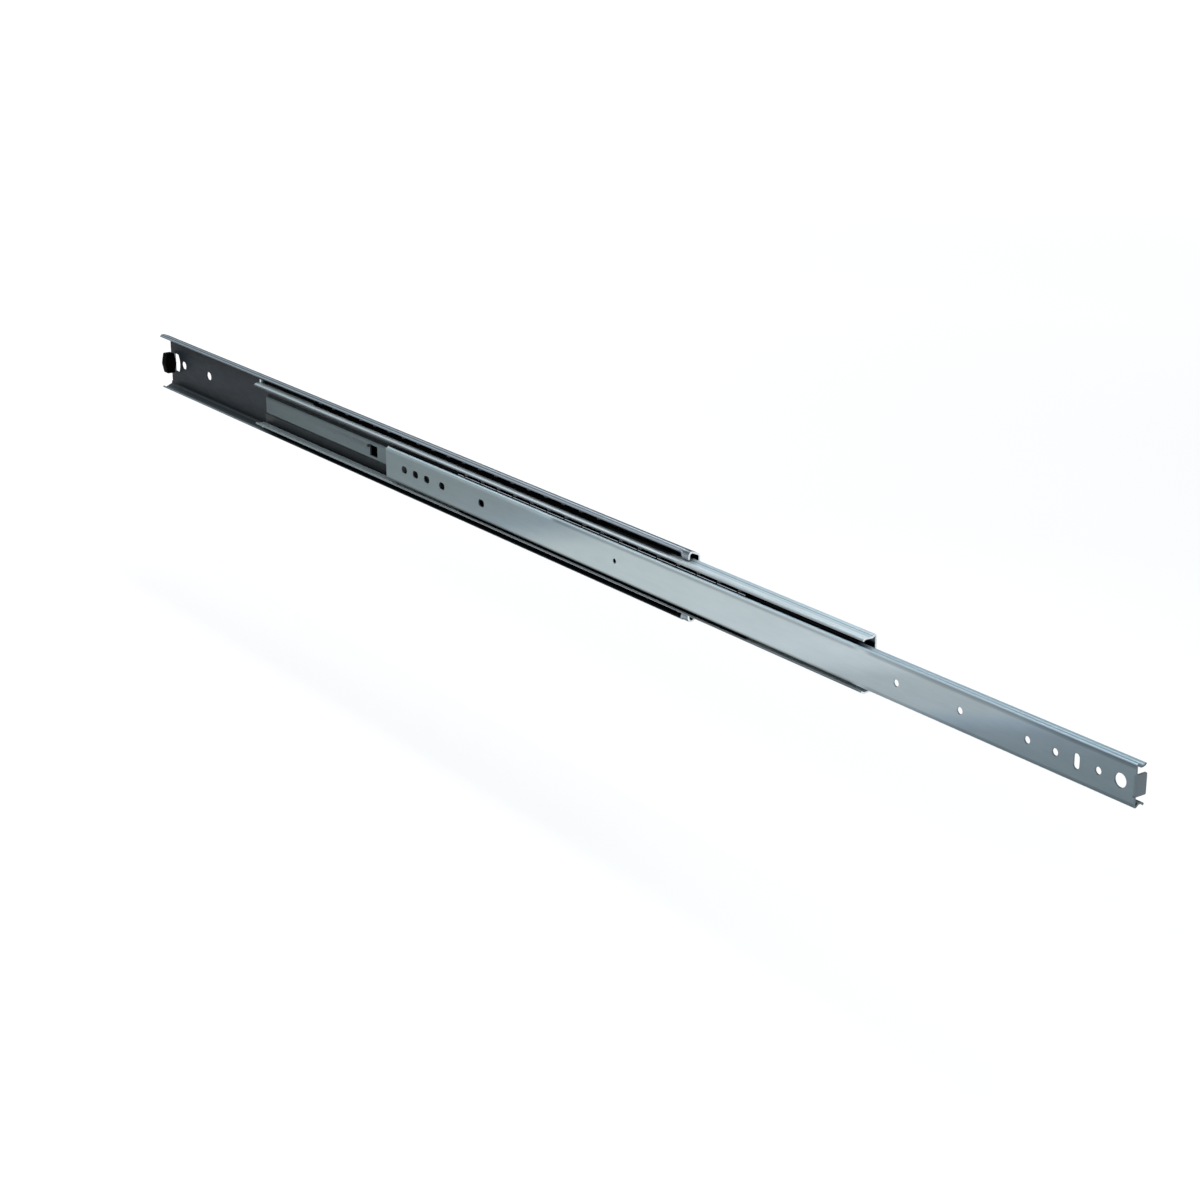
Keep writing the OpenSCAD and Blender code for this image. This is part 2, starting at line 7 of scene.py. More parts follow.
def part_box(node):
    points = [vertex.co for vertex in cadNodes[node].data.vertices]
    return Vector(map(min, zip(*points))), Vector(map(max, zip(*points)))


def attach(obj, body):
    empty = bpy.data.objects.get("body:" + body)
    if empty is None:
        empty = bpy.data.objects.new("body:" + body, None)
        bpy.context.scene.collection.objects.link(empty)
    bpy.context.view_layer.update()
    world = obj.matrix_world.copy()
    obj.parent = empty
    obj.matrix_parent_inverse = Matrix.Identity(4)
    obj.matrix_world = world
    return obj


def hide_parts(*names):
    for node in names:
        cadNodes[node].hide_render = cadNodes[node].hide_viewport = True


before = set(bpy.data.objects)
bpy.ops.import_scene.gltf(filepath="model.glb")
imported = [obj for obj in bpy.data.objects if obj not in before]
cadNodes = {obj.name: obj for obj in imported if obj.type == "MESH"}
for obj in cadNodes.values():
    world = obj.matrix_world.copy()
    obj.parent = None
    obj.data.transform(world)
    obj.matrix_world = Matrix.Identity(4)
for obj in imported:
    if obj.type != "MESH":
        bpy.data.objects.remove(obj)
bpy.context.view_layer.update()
mm = 0.001
print("stage: frame loaded,", len(cadNodes), "nodes")

# The slide's own measures, in mm. Sections are [depth from the cabinet side, height].
slideSizes = {
    "slideDepth": 19.05,
    "cabinetSheet": 1.6,
    "innerSheet": 1.5,
    "ballRadius": 3.175,
    "raceClearance": 0.05,
    "outerRow": (8.6, 24.4),
    "innerRow": (13.4, 16.6),
    "ballPitch": 25.4,
}
ballRadius = slideSizes["ballRadius"]
raceRadius = ballRadius + slideSizes["raceClearance"]
outerRow = np.array(slideSizes["outerRow"])
innerRow = np.array(slideSizes["innerRow"])


# First and last x of a CAD node, in mm: its box's ends divided by one millimetre.
def nodeSpan(nodeName):
    low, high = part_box(nodeName)
    return low.x / mm, high.x / mm


cabinetRear, cabinetFront = nodeSpan("cabinet_member")
intermediateRear, intermediateFront = nodeSpan("intermediate_member")
drawerRear, drawerFront = nodeSpan("drawer_member")

past = 1.0  # how far a cutter reaches past the sheet
overlap = 0.02  # how far a joined form lies inside its member's end
cutEdges = {"reach": 0.4, "facing": 0.6, "largest": 120}  # mm, share of the normal, mm2


# Sections

# Unit vector from p to q: the step divided by its length.
def heading(p, q):
    step = np.subtract(q, p)
    return step / np.linalg.norm(step)


# u turned to the left by an angle in degrees: the usual sums of its parts times cosine and sine.
def turned(u, angle):
    c, s = math.cos(math.radians(angle)), math.sin(math.radians(angle))
    return np.array([u[0] * c - u[1] * s, u[0] * s + u[1] * c])


# A point on a circle: the centre plus r along the direction of an angle in degrees.
def onCircle(centre, r, angle):
    a = math.radians(angle)
    return np.array(centre) + r * np.array([math.cos(a), math.sin(a)])


# A tangent arc in the corner b: it starts r times tan(half turn) before b, and its points are the
# centre less r times the turned normal, or plus it in a turn to the right. Rows are x, y, normal x,
# normal y.
def bendStations(a, b, c, r, steps):
    u, v = heading(a, b), heading(b, c)
    turn = math.degrees(math.atan2(u[0] * v[1] - u[1] * v[0], float(u @ v)))
    side = 1 if turn > 0 else -1
    left = turned(u, 90)
    centre = np.array(b) - r * math.tan(math.radians(abs(turn) / 2)) * u + side * r * left
    t = np.radians(turn * np.linspace(0, 1, steps + 1))
    n = np.stack([left[0] * np.cos(t) - left[1] * np.sin(t), left[0] * np.sin(t) + left[1] * np.cos(t)], 1)
    return np.hstack([centre - side * r * n, n])


# An arc about a ball row: the centre plus r times the direction. The left normal points in when the
# arc runs to the left, and out when it runs to the right.
def raceStations(centre, r, start, stop, steps):
    side = 1 if stop > start else -1
    t = np.radians(np.linspace(start, stop, steps + 1))
    d = np.stack([np.cos(t), np.sin(t)], 1)
    return np.hstack([np.array(centre) + r * d, -side * d])


# One station: the point itself with the left normal of the run from p to q.
def endStation(at, p, q):
    return np.hstack([at, turned(heading(p, q), 90)])[None, :]


# The lower half is the upper half mirrored in height and run backwards.
def wholePath(upper):
    lower = upper[::-1] * np.array([1, -1, 1, -1])
    return np.vstack([lower, upper])


# Both sides of the path at half the sheet along its normals. An inset thins the sheet and
# draws the two tips back by the same amount.
def stripOutline(path, sheet, inset=0.0):
    pts, nor = path[:, :2].copy(), path[:, 2:]
    pts[0] += inset * heading(pts[0], pts[1])
    pts[-1] += inset * heading(pts[-1], pts[-2])
    half = sheet / 2 - inset
    return np.vstack([pts + nor * half, (pts - nor * half)[::-1]])


# Where the line through p along u comes to a depth: p plus u times the depth still to go over u's own.
def atDepth(p, u, depth):
    return p + u * (depth - p[0]) / u[0]


# Angles of the races are in degrees about the ball rows, bends are radii of the sheet's middle line.
cabinetSection = {
    "raceFrom": 113, "raceTo": 35, "webBend": 2.4,
    "lugTopDepth": 10.35, "lugEnd": (10.95, 22.7), "lugBend": 2.7,
}


# Web, sloping flange on the race's tangent, race; and the same with the lip pressed down at the front.
def cabinetPaths(c):
    mid = slideSizes["cabinetSheet"] / 2
    r = raceRadius + mid
    foot = onCircle(outerRow, r, c["raceFrom"])
    corner = atDepth(foot, turned(heading(outerRow, foot), -90), mid)
    web = bendStations([mid, 0], corner, foot, c["webBend"], steps=8)
    race = raceStations(outerRow, r, c["raceFrom"], c["raceTo"], steps=17)
    lugEnd = np.array(c["lugEnd"])
    lugTop = atDepth(foot, heading(corner, foot), c["lugTopDepth"])
    lug = [bendStations(corner, lugTop, lugEnd, c["lugBend"], steps=16), endStation(lugEnd, lugTop, lugEnd)]
    return wholePath(np.vstack([web, race])), wholePath(np.vstack([web, *lug]))


intermediateSection = {
    "webDepth": 8.6, "webHalf": 7.6, "wallDepth": 4.5, "wallFoot": 10.4,
    "jogBend": 1.6, "earBend": 0.9, "valleyFrom": 230, "crestTo": 38,
}


# Central web, jog, side wall, ear, valley race about the outer balls, crest race about the inner
# balls. The races meet on the common tangent, at the angle between the rows less the arc cosine of
# both radii over the distance of the rows.
def intermediatePath(c):
    r = raceRadius + slideSizes["innerSheet"] / 2
    step = innerRow - outerRow
    cross = math.degrees(math.atan2(step[1], step[0]) - math.acos(2 * r / np.linalg.norm(step))) + 360
    foot = onCircle(outerRow, r, c["valleyFrom"])
    earCorner = atDepth(foot, turned(heading(outerRow, foot), 90), c["wallDepth"])
    webEdge = np.array([c["webDepth"], c["webHalf"]])
    wallFoot = np.array([c["wallDepth"], c["wallFoot"]])
    return wholePath(np.vstack([
        bendStations([c["webDepth"], 0], webEdge, wallFoot, c["jogBend"], steps=6),
        bendStations(webEdge, wallFoot, earCorner, c["jogBend"], steps=6),
        bendStations(wallFoot, earCorner, foot, c["earBend"], steps=8),
        raceStations(outerRow, r, c["valleyFrom"], cross, steps=10),
        raceStations(innerRow, r, cross - 180, c["crestTo"], steps=12)]))


drawerSection = {"grooveFrom": 320, "grooveTo": 214, "edgeBend": 1.0}


# Web, rolled edge on the race's tangent, and the groove race under the inner balls.
def drawerPath(c):
    r = raceRadius + slideSizes["innerSheet"] / 2
    mid = slideSizes["slideDepth"] - slideSizes["innerSheet"] / 2
    foot = onCircle(innerRow, r, c["grooveFrom"])
    corner = atDepth(foot, turned(heading(innerRow, foot), -90), mid)
    return wholePath(np.vstack([
        bendStations([mid, 0], corner, foot, c["edgeBend"], steps=10),
        raceStations(innerRow, r, c["grooveFrom"], c["grooveTo"], steps=18)]))


# Meshes

# Section rings carried along X: vertex (i, j) is (x of ring i, minus depth, height), in metres.
# Quads join neighbouring rings and a face closes each end.
def sweptMesh(name, rings, xs):
    rings = np.asarray(rings, float)
    m, n = rings.shape[:2]
    co = np.empty((m, n, 3))
    co[:, :, 0] = np.asarray(xs, float)[:, None]
    co[:, :, 1] = -rings[:, :, 0]
    co[:, :, 2] = rings[:, :, 1]
    return gridMesh(name, co * mm)


# A tube from a grid of points: rows are rings, columns run round, both ends closed by one face.
def gridMesh(name, co):
    m, n = co.shape[:2]
    idx = np.arange(m * n).reshape(m, n)
    nxt = np.roll(idx, -1, axis=1)
    quads = np.stack([idx[:-1], nxt[:-1], nxt[1:], idx[1:]], -1).reshape(-1, 4)
    faces = quads.tolist() + [idx[0, ::-1].tolist(), idx[-1].tolist()]
    mesh = bpy.data.meshes.new(name)
    mesh.from_pydata(co.reshape(-1, 3).tolist(), [], faces)
    mesh.update()
    fixWinding(mesh)
    return mesh


# Turns all faces over when the signed volume, the sum of triangle products over six, is negative.
def fixWinding(mesh):
    mesh.calc_loop_triangles()
    tri = np.empty(len(mesh.loop_triangles) * 3, np.int32)
    mesh.loop_triangles.foreach_get("vertices", tri)
    co = np.empty(len(mesh.vertices) * 3)
    mesh.vertices.foreach_get("co", co)
    p = co.reshape(-1, 3)[tri.reshape(-1, 3)]
    if float(np.einsum("ij,ij->", p[:, 0], np.cross(p[:, 1], p[:, 2]))) < 0:
        mesh.flip_normals()


# A mesh as an object of the scene, at the origin, unturned and unscaled.
def newPiece(name, mesh):
    obj = bpy.data.objects.new(name, mesh)
    bpy.context.scene.collection.objects.link(obj)
    return obj


# Several closed meshes in one, with their vertex numbers shifted on.
def joinedCutter(name, meshes):
    verts, faces, base = [], [], 0
    for mesh in meshes:
        co = np.empty(len(mesh.vertices) * 3)
        mesh.vertices.foreach_get("co", co)
        verts.append(co.reshape(-1, 3))
        faces += [[v + base for v in poly.vertices] for poly in mesh.polygons]
        base += len(mesh.vertices)
    joined = bpy.data.meshes.new(name)
    joined.from_pydata(np.vstack(verts).tolist(), [], faces)
    joined.update()
    return joined


# Boolean of the piece with a group of closed meshes, kept as the piece's own mesh.
def cutOrJoin(obj, meshes, operation):
    tool = newPiece(obj.name + "Tool", joinedCutter(obj.name + "Tool", meshes))
    mod = obj.modifiers.new("cut", "BOOLEAN")
    mod.operation = operation
    mod.solver = "EXACT"
    mod.use_self = operation == "UNION"
    mod.object = tool
    bpy.context.view_layer.update()
    graph = bpy.context.evaluated_depsgraph_get()
    cut = bpy.data.meshes.new_from_object(obj.evaluated_get(graph))
    obj.modifiers.remove(mod)
    obj.data = cut
    bpy.data.objects.remove(tool)


# Outline of a slot: r times cosine and sine, with the halves moved out by halfX or halfZ. The
# points start half a step round, so none lies where the halves part.
def capsule(halfX, halfZ, r, steps=20):
    t = np.linspace(0, 2 * math.pi, 4 * steps, endpoint=False) + math.pi / (4 * steps)
    c, s = np.cos(t), np.sin(t)
    return np.stack([c * r + np.sign(c) * halfX, s * r + np.sign(s) * halfZ], 1)


# A round hole, or a slot of a given length along X or Z, through a web between two depths. From the
# rim's depth the outline grows one for one past both faces, so the hole gets a small chamfer.
def holeCutter(x, width, faceNear, faceFar, lengthX=0, lengthZ=0, rim=0.22):
    halfX = max(lengthX - width, 0) / 2
    halfZ = max(lengthZ - width, 0) / 2
    levels = [(faceNear - past, rim + past), (faceNear + rim, 0), (faceFar - rim, 0),
              (faceFar + past, rim + past)]
    rings = []
    for depth, grow in levels:
        o = capsule(halfX, halfZ, width / 2 + grow)
        rings.append(np.stack([x + o[:, 0], np.full(len(o), -depth), o[:, 1]], 1))
    return gridMesh("hole", np.array(rings) * mm)


# An outline in x and z carried straight from one depth to another.
def prism(outlineXZ, depthFrom, depthTo):
    o = np.asarray(outlineXZ, float)
    rings = [np.stack([o[:, 0], np.full(len(o), -d), o[:, 1]], 1) for d in (depthFrom, depthTo)]
    return gridMesh("prism", np.array(rings) * mm)


# A plain block: the rectangle between two x and two heights, from one depth to another.
def block(x0, x1, d0, d1, z0, z1):
    return prism([[x0, z0], [x1, z0], [x1, z1], [x0, z1]], d0, d1)


# A flat tab carried along a path in x and y: each station is a rectangle of sheet by width. Near
# the end half the width falls as a quarter circle of the corner radius, and keeps a small blunt end.
def bentTab(path, sheet, halfWidth, corner, middle=0.0):
    pts, nor = path[:, :2], path[:, 2:]
    length = np.concatenate([[0], np.cumsum(np.linalg.norm(np.diff(pts, axis=0), axis=1))])
    left = np.clip((corner - (length[-1] - length)) / corner, 0, 1)
    bluntShare = 0.02
    half = halfWidth - corner + corner * np.sqrt(np.clip(1 - left ** 2, bluntShare ** 2, 1))
    rings = []
    for s, w in ((0.5, -1), (0.5, 1), (-0.5, 1), (-0.5, -1)):
        p = pts + nor * sheet * s
        rings.append(np.stack([p[:, 0], p[:, 1], middle + w * half], 1))
    return gridMesh("tab", np.stack(rings, 1) * mm)


# Smooth shading, with the edges kept sharp where the faces turn by more than the angle.
def smoothed(obj, angle=28):
    obj.data.shade_smooth()
    obj.data.set_sharp_from_angle(angle=math.radians(angle))


# The centre of each face as x, depth and height in mm, its normal [x, depth, height] and its area.
def faceData(mesh):
    n = len(mesh.polygons)
    centre, normal, area = np.empty(n * 3), np.empty(n * 3), np.empty(n)
    mesh.polygons.foreach_get("center", centre)
    mesh.polygons.foreach_get("normal", normal)
    mesh.polygons.foreach_get("area", area)
    c, m = centre.reshape(-1, 3) / mm, normal.reshape(-1, 3) * [1, -1, 1]
    return c[:, 0], -c[:, 1], c[:, 2], m, area / mm ** 2


# The first finish everywhere, and the others where the piece's own rule gives their number. The
# rule sees both halves as the upper one: heights without sign, normals of the lower half turned up.
def paint(obj, finishes, choose=None):
    obj.data.materials.clear()
    for finish in finishes:
        obj.data.materials.append(finish)
    if choose is None:
        return
    x, depth, height, normal, area = faceData(obj.data)
    normal[:, 2] *= np.where(height < 0, -1, 1)
    index = choose(x, depth, np.abs(height), normal, area)
    obj.data.polygons.foreach_set("material_index", index.astype(np.int32))


# Faces near a cut end that look along X. Larger ones, such as the tab, aren't cut edges.
def cutEnds(x, normal, area, ends):
    near = np.min([np.abs(x - e) for e in ends], axis=0) < cutEdges["reach"]
    return near & (np.abs(normal[:, 0]) > cutEdges["facing"]) & (area < cutEdges["largest"])


# Finishes

noiseLow, noiseHigh = 0.3, 0.7  # the noise's usual range
roughBelow, roughAbove = 0.04, 0.05
bandSpan = 30.0  # mm that the ramp of a band covers
bandRun = 12.0  # mm over which a band comes or goes along X
zincTexture = {
    "streakScale": (2.0, 900, 900), "streakTones": (0.86, 1.1),
    "cloudScale": (9, 30, 30), "cloudTones": (0.9, 1.06),
    "roughScale": (60, 400, 400), "grainScale": (250, 2500, 2500),
    "bump": 0.12, "bumpDistance": 0.02,
}
plainBumpDistance = 0.03


# Linear values of a colour given from 0 to 255: the usual screen curve undone.
def srgb(r, g, b):
    c = np.array([r, g, b]) / 255
    lin = np.where(c <= 0.04045, c / 12.92, ((c + 0.055) / 1.055) ** 2.4)
    return (*lin.tolist(), 1.0)


# An empty material with its shader joined to the output, and the coordinates that patterns read.
def newFinish(name):
    mat = bpy.data.materials.new(name)
    mat.use_nodes = True
    nodes, links = mat.node_tree.nodes, mat.node_tree.links
    nodes.clear()
    out = nodes.new("ShaderNodeOutputMaterial")
    shader = nodes.new("ShaderNodeBsdfPrincipled")
    links.new(shader.outputs[0], out.inputs[0])
    coords = nodes.new("ShaderNodeTexCoord")
    return mat, nodes, links, shader, coords


# A socket is set to a number, or joined to another socket.
def feed(links, socket, value):
    if isinstance(value, (int, float)):
        socket.default_value = value
    else:
        links.new(value, socket)


# Noise over the object's coordinates, each multiplied by its own scale, from 0 to 1.
def noiseNode(nodes, links, coords, scale, detail):
    stretch = nodes.new("ShaderNodeMapping")
    stretch.inputs["Scale"].default_value = scale
    links.new(coords.outputs["Object"], stretch.inputs["Vector"])
    noise = nodes.new("ShaderNodeTexNoise")
    noise.inputs["Scale"].default_value = 1.0
    noise.inputs["Detail"].default_value = detail
    links.new(stretch.outputs[0], noise.inputs["Vector"])
    return noise.outputs[0]


# A colour for each value from 0 to 1: straight runs between the stops [place, colour].
def rampNode(nodes, links, value, stops):
    ramp = nodes.new("ShaderNodeValToRGB")
    ramp.color_ramp.interpolation = "LINEAR"
    elements = ramp.color_ramp.elements
    while len(elements) < len(stops):
        elements.new(0.5)
    for element, (place, colour) in zip(elements, stops):
        element.position = place
        element.color = colour
    links.new(value, ramp.inputs[0])
    return ramp.outputs[0]


# The sum, product or other operation of its values, which are numbers or sockets.
def mathNode(nodes, links, operation, *values):
    node = nodes.new("ShaderNodeMath")
    node.operation = operation
    for socket, value in zip(node.inputs, values):
        feed(links, socket, value)
    return node.outputs[0]


# The value's share of the way from a to b, kept from 0 to 1, as a level between low and high.
def rangeNode(nodes, links, value, a, b, low=0.0, high=1.0, smooth=True):
    node = nodes.new("ShaderNodeMapRange")
    node.interpolation_type = "SMOOTHSTEP" if smooth else "LINEAR"
    for socket, level in zip(node.inputs, (value, a, b, low, high)):
        feed(links, socket, level)
    return node.outputs[0]


# Two colours mixed, or the first one multiplied by the second, by a share that may be a socket.
def mixNode(nodes, links, share, first, second, blend="MULTIPLY"):
    node = nodes.new("ShaderNodeMix")
    node.data_type = "RGBA"
    node.blend_type = blend
    shareIn, firstIn, secondIn = (node.inputs[i] for i in (0, 6, 7))  # those of a colour mix
    feed(links, shareIn, share)
    links.new(first, firstIn)
    links.new(second, secondIn)
    return node.outputs[2]


# One level for red, green and blue.
def greyed(level):
    return (level, level, level, 1.0)


# A factor on the tone from noise, between two greys as the noise goes over its usual range.
def mottled(nodes, links, tone, noise, dark, light, share):
    greys = rampNode(nodes, links, noise, [(noiseLow, greyed(dark)), (noiseHigh, greyed(light))])
    return mixNode(nodes, links, share, tone, greys)


# Roughness about its middle value by noise, and a bump of fine grain.
def roughenFinish(nodes, links, shader, look, noise, grain, strength, distance):
    low, high = look["roughness"] - roughBelow, look["roughness"] + roughAbove
    links.new(rangeNode(nodes, links, noise, noiseLow, noiseHigh, low, high), shader.inputs["Roughness"])
    bump = nodes.new("ShaderNodeBump")
    bump.inputs["Strength"].default_value = strength
    bump.inputs["Distance"].default_value = distance * mm
    links.new(grain, bump.inputs["Height"])
    links.new(bump.outputs[0], shader.inputs["Normal"])
    shader.inputs["Metallic"].default_value = look["metallic"]
    shader.inputs["Specular IOR Level"].default_value = look.get("specular", 0.5)


# The tone multiplied by grey stops [place in mm, factor] along the depth, the height, the rise or
# the fall. A band may hold only in the upper half, only beyond a place along X, where it comes over
# its own run or the usual one, or only before a place, where it goes.
def bandLayer(nodes, links, tone, places, band, mask):
    value = mathNode(nodes, links, "DIVIDE", places[band["by"]], bandSpan * mm)
    marks = rampNode(nodes, links, value, [(at / bandSpan, greyed(v)) for at, v in band["stops"]])
    share = 1.0 if mask is None else mask
    if band.get("half") == "upper":
        upper = rangeNode(nodes, links, places["rise"], 0.0, mm)
        share = mathNode(nodes, links, "MULTIPLY", upper, share)
    sides = (("beyond", band.get("run", bandRun), (0.0, 1.0)), ("before", bandRun, (1.0, 0.0)))
    for key, reach, ends in sides:
        if key in band:
            start, stop = band[key] * mm, (band[key] + reach) * mm
            run = rangeNode(nodes, links, places["x"], start, stop, *ends)
            share = mathNode(nodes, links, "MULTIPLY", run, share)
    return mixNode(nodes, links, share, tone, marks)


# The tone along X: a ramp over the member's span, with each place in mm as a share of that span.
def toneAlong(nodes, links, place, look, key):
    low, high = look["span"]
    share = rangeNode(nodes, links, place, low * mm, high * mm, smooth=False)
    stops = [((at - low) / (high - low), srgb(*tone)) for at, tone in look[key]]
    return rampNode(nodes, links, share, stops)


# Zinc plating on rolled strip, with light and shade painted into its colour: a tone along the web,
# another on the flanges, painted highlights and shade in bands by depth or height, long streaks, a
# faint cloud of the passivation, and fine grain in the bump. The web's tone can run aslant: its place
# is x less the slant times the height.
def zincFinish(name, look):
    mat, nodes, links, shader, coords = newFinish(name)
    split = nodes.new("ShaderNodeSeparateXYZ")
    links.new(coords.outputs["Object"], split.inputs[0])
    x, y, z = split.outputs
    height = mathNode(nodes, links, "ABSOLUTE", z)
    depth = mathNode(nodes, links, "MULTIPLY", y, -1.0)
    fall = mathNode(nodes, links, "MULTIPLY", z, -1.0)
    aslant = mathNode(nodes, links, "MULTIPLY_ADD", z, -look["slant"], x)
    web = toneAlong(nodes, links, aslant, look, "webTones")
    flange = toneAlong(nodes, links, x, look, "flangeTones")
    mask = rangeNode(nodes, links, height, look["flangeFrom"] * mm, look["flangeFull"] * mm)
    tone = mixNode(nodes, links, mask, web, flange, "MIX")
    places = {"x": x, "depth": depth, "height": height, "rise": z, "fall": fall}
    for band in look["bands"]:
        tone = bandLayer(nodes, links, tone, places, band, mask if band["by"] == "depth" else None)
    c = zincTexture
    streaks = noiseNode(nodes, links, coords, c["streakScale"], detail=3)
    tone = mottled(nodes, links, tone, streaks, *c["streakTones"], look["streak"])
    cloud = noiseNode(nodes, links, coords, c["cloudScale"], detail=4)
    tone = mottled(nodes, links, tone, cloud, *c["cloudTones"], look["cloud"])
    links.new(tone, shader.inputs["Base Color"])
    links.new(tone, shader.inputs["Specular Tint"])
    rough = noiseNode(nodes, links, coords, c["roughScale"], detail=3)
    grain = noiseNode(nodes, links, coords, c["grainScale"], detail=2)
    roughenFinish(nodes, links, shader, look, rough, grain, c["bump"], c["bumpDistance"])
    return mat


# One tone with a fine mottle in colour and roughness, and a grain four times as fine in the bump.
def plainFinish(name, look):
    mat, nodes, links, shader, coords = newFinish(name)
    mottle = noiseNode(nodes, links, coords, (look["grainScale"],) * 3, detail=4)
    tone = np.array(srgb(*look["tone"])[:3])
    dark, light = ((*(tone * (1 + v)).tolist(), 1.0) for v in (-look["vary"], look["vary"]))
    colour = rampNode(nodes, links, mottle, [(noiseLow, dark), (noiseHigh, light)])
    links.new(colour, shader.inputs["Base Color"])
    grain = noiseNode(nodes, links, coords, (look["grainScale"] * 4,) * 3, detail=2)
    roughenFinish(nodes, links, shader, look, mottle, grain, look["bump"], plainBumpDistance)
    return mat


# Tones are those seen on the plated faces at rest, with their light and shade painted in: [x at
# rest in mm, colour]. Bands are painted highlights and painted shade along the bends.
drawerLook = {
    "span": (drawerRear - 45, drawerFront + 45), "slant": 3.6,
    # The web's tones are painted light and shade: lighter in the middle, darker towards both ends.
    "webTones": [(-380, (106, 117, 120)), (-250, (111, 122, 125)), (-160, (118, 130, 134)),
                 (-112, (123, 136, 142)), (-70, (142, 154, 158)), (-30, (157, 168, 170)),
                 (40, (160, 171, 173)), (150, (163, 174, 177)), (260, (166, 177, 181)),
                 (298, (160, 171, 175)), (335, (143, 154, 158)), (405, (139, 150, 155)),
                 (420, (133, 146, 153)), (440, (120, 134, 144)), (462, (108, 121, 129)),
                 (510, (102, 114, 121)), (600, (96, 108, 114))],
    "flangeTones": [(-342, (134, 148, 154)), (100, (150, 166, 174)), (572, (138, 156, 166))],
    # The bands paint highlights on the rolled edges and shade beside them; those that end before 299 paint
    # the shade of the intermediate member over the drawer at rest.
    "bands": [{"by": "depth", "stops": [(9.4, 0.7), (10.2, 0.8), (10.9, 1.3), (12.4, 1.5), (13.2, 1.2),
                                        (14.0, 1.2), (16.6, 1.25), (17.4, 1.5), (18.2, 1.25), (18.8, 1.0),
                                        (19.05, 0.9)]},
              {"by": "height", "beyond": 311,
               "stops": [(11.6, 1.0), (12.4, 0.74), (14.0, 0.66), (14.6, 0.95)]},
              {"by": "rise", "before": -80,
               "stops": [(11.0, 1.0), (12.2, 1.25), (13.2, 1.45), (15.0, 1.65)]},
              {"by": "rise", "beyond": -80, "before": 299,
               "stops": [(10.6, 1.0), (11.6, 0.86), (12.4, 0.66), (13.2, 0.66), (13.9, 0.9), (14.6, 1.2),
                         (15.0, 1.3)]},
              {"by": "fall", "before": 299,
               "stops": [(12.4, 1.0), (13.4, 0.62), (14.3, 0.25), (15.4, 0.1)]}],
    "flangeFrom": 14.1, "flangeFull": 14.9, "streak": 0.12, "cloud": 0.3,
    "metallic": 0.6, "roughness": 0.38,
}
# The inside faces of the drawer member are painted in shade.
drawerShadedBackLook = dict(drawerLook, slant=0.0, bands=(), flangeFrom=11.0, flangeFull=13.0,
                      webTones=[(-342, (90, 98, 102)), (572, (96, 104, 108))],
                      flangeTones=[(-342, (50, 56, 60)), (572, (74, 82, 87))])
# The track is painted near black as shade as far as the intermediate member reached at rest, and light
# beyond it.
drawerTrackLook = dict(drawerLook, slant=0.0, flangeFrom=12.0, flangeFull=13.0,
                       webTones=[(300, (20, 22, 24)), (320, (140, 156, 164))],
                       flangeTones=[(300, (20, 22, 24)), (320, (150, 167, 176)), (572, (138, 158, 168))])
intermediateLook = {
    "span": (intermediateRear, intermediateFront), "slant": 0.0,
    "webTones": [(-599, (82, 91, 94)), (-540, (87, 97, 99)), (-400, (91, 101, 104)), (-340, (86, 95, 98)),
                 (311, (90, 99, 103))],
    # The flanges are painted lighter than the web, as faces turned to the light.
    "flangeTones": [(-599, (168, 181, 186)), (-190, (180, 192, 198)), (80, (182, 194, 200)),
                    (106, (180, 191, 196)), (311, (180, 193, 198))],
    # The bands paint highlights on the bends and shade in the hollows; those that end at 84 and 74 paint
    # the shade of the cabinet member over the intermediate at rest.
    "bands": [{"by": "depth", "stops": [(4.4, 0.95), (5.6, 1.05), (6.4, 1.3), (7.2, 1.42), (8.0, 1.52),
                                        (8.6, 1.5), (9.6, 1.16), (10.6, 1.14), (11.6, 1.42), (12.8, 1.55),
                                        (13.6, 1.4), (14.6, 1.1), (15.5, 0.95), (16.2, 0.8), (16.8, 0.55),
                                        (17.4, 0.42)]},
              {"by": "depth", "half": "upper", "before": 84,
               "stops": [(14.6, 1.02), (15.2, 1.22), (15.7, 1.35), (16.1, 1.2), (16.4, 0.81), (16.7, 0.51),
                         (17.0, 0.3), (17.4, 0.29)]},
              {"by": "depth", "beyond": -400, "run": 400, "before": 74,
               "stops": [(7.0, 0.4), (9.5, 0.05), (11.2, 0.07), (12.0, 0.15), (12.8, 0.32), (13.4, 0.46),
                         (14.0, 0.62), (14.9, 0.86), (15.3, 1.0), (16.0, 1.25), (16.6, 1.2), (17.2, 0.9)]}],
    "flangeFrom": 15.0, "flangeFull": 18.5, "streak": 0.2, "cloud": 0.2,
    "metallic": 0.6, "roughness": 0.36,
}
# The tracks are painted near black as shade where the cabinet member covered them at rest, and light in
# front of it.
trackTones = [(85, (8, 9, 10)), (103, (146, 164, 172)), (311, (156, 174, 182))]
intermediateTrackLook = dict(intermediateLook, webTones=trackTones, flangeTones=trackTones, metallic=0.4)
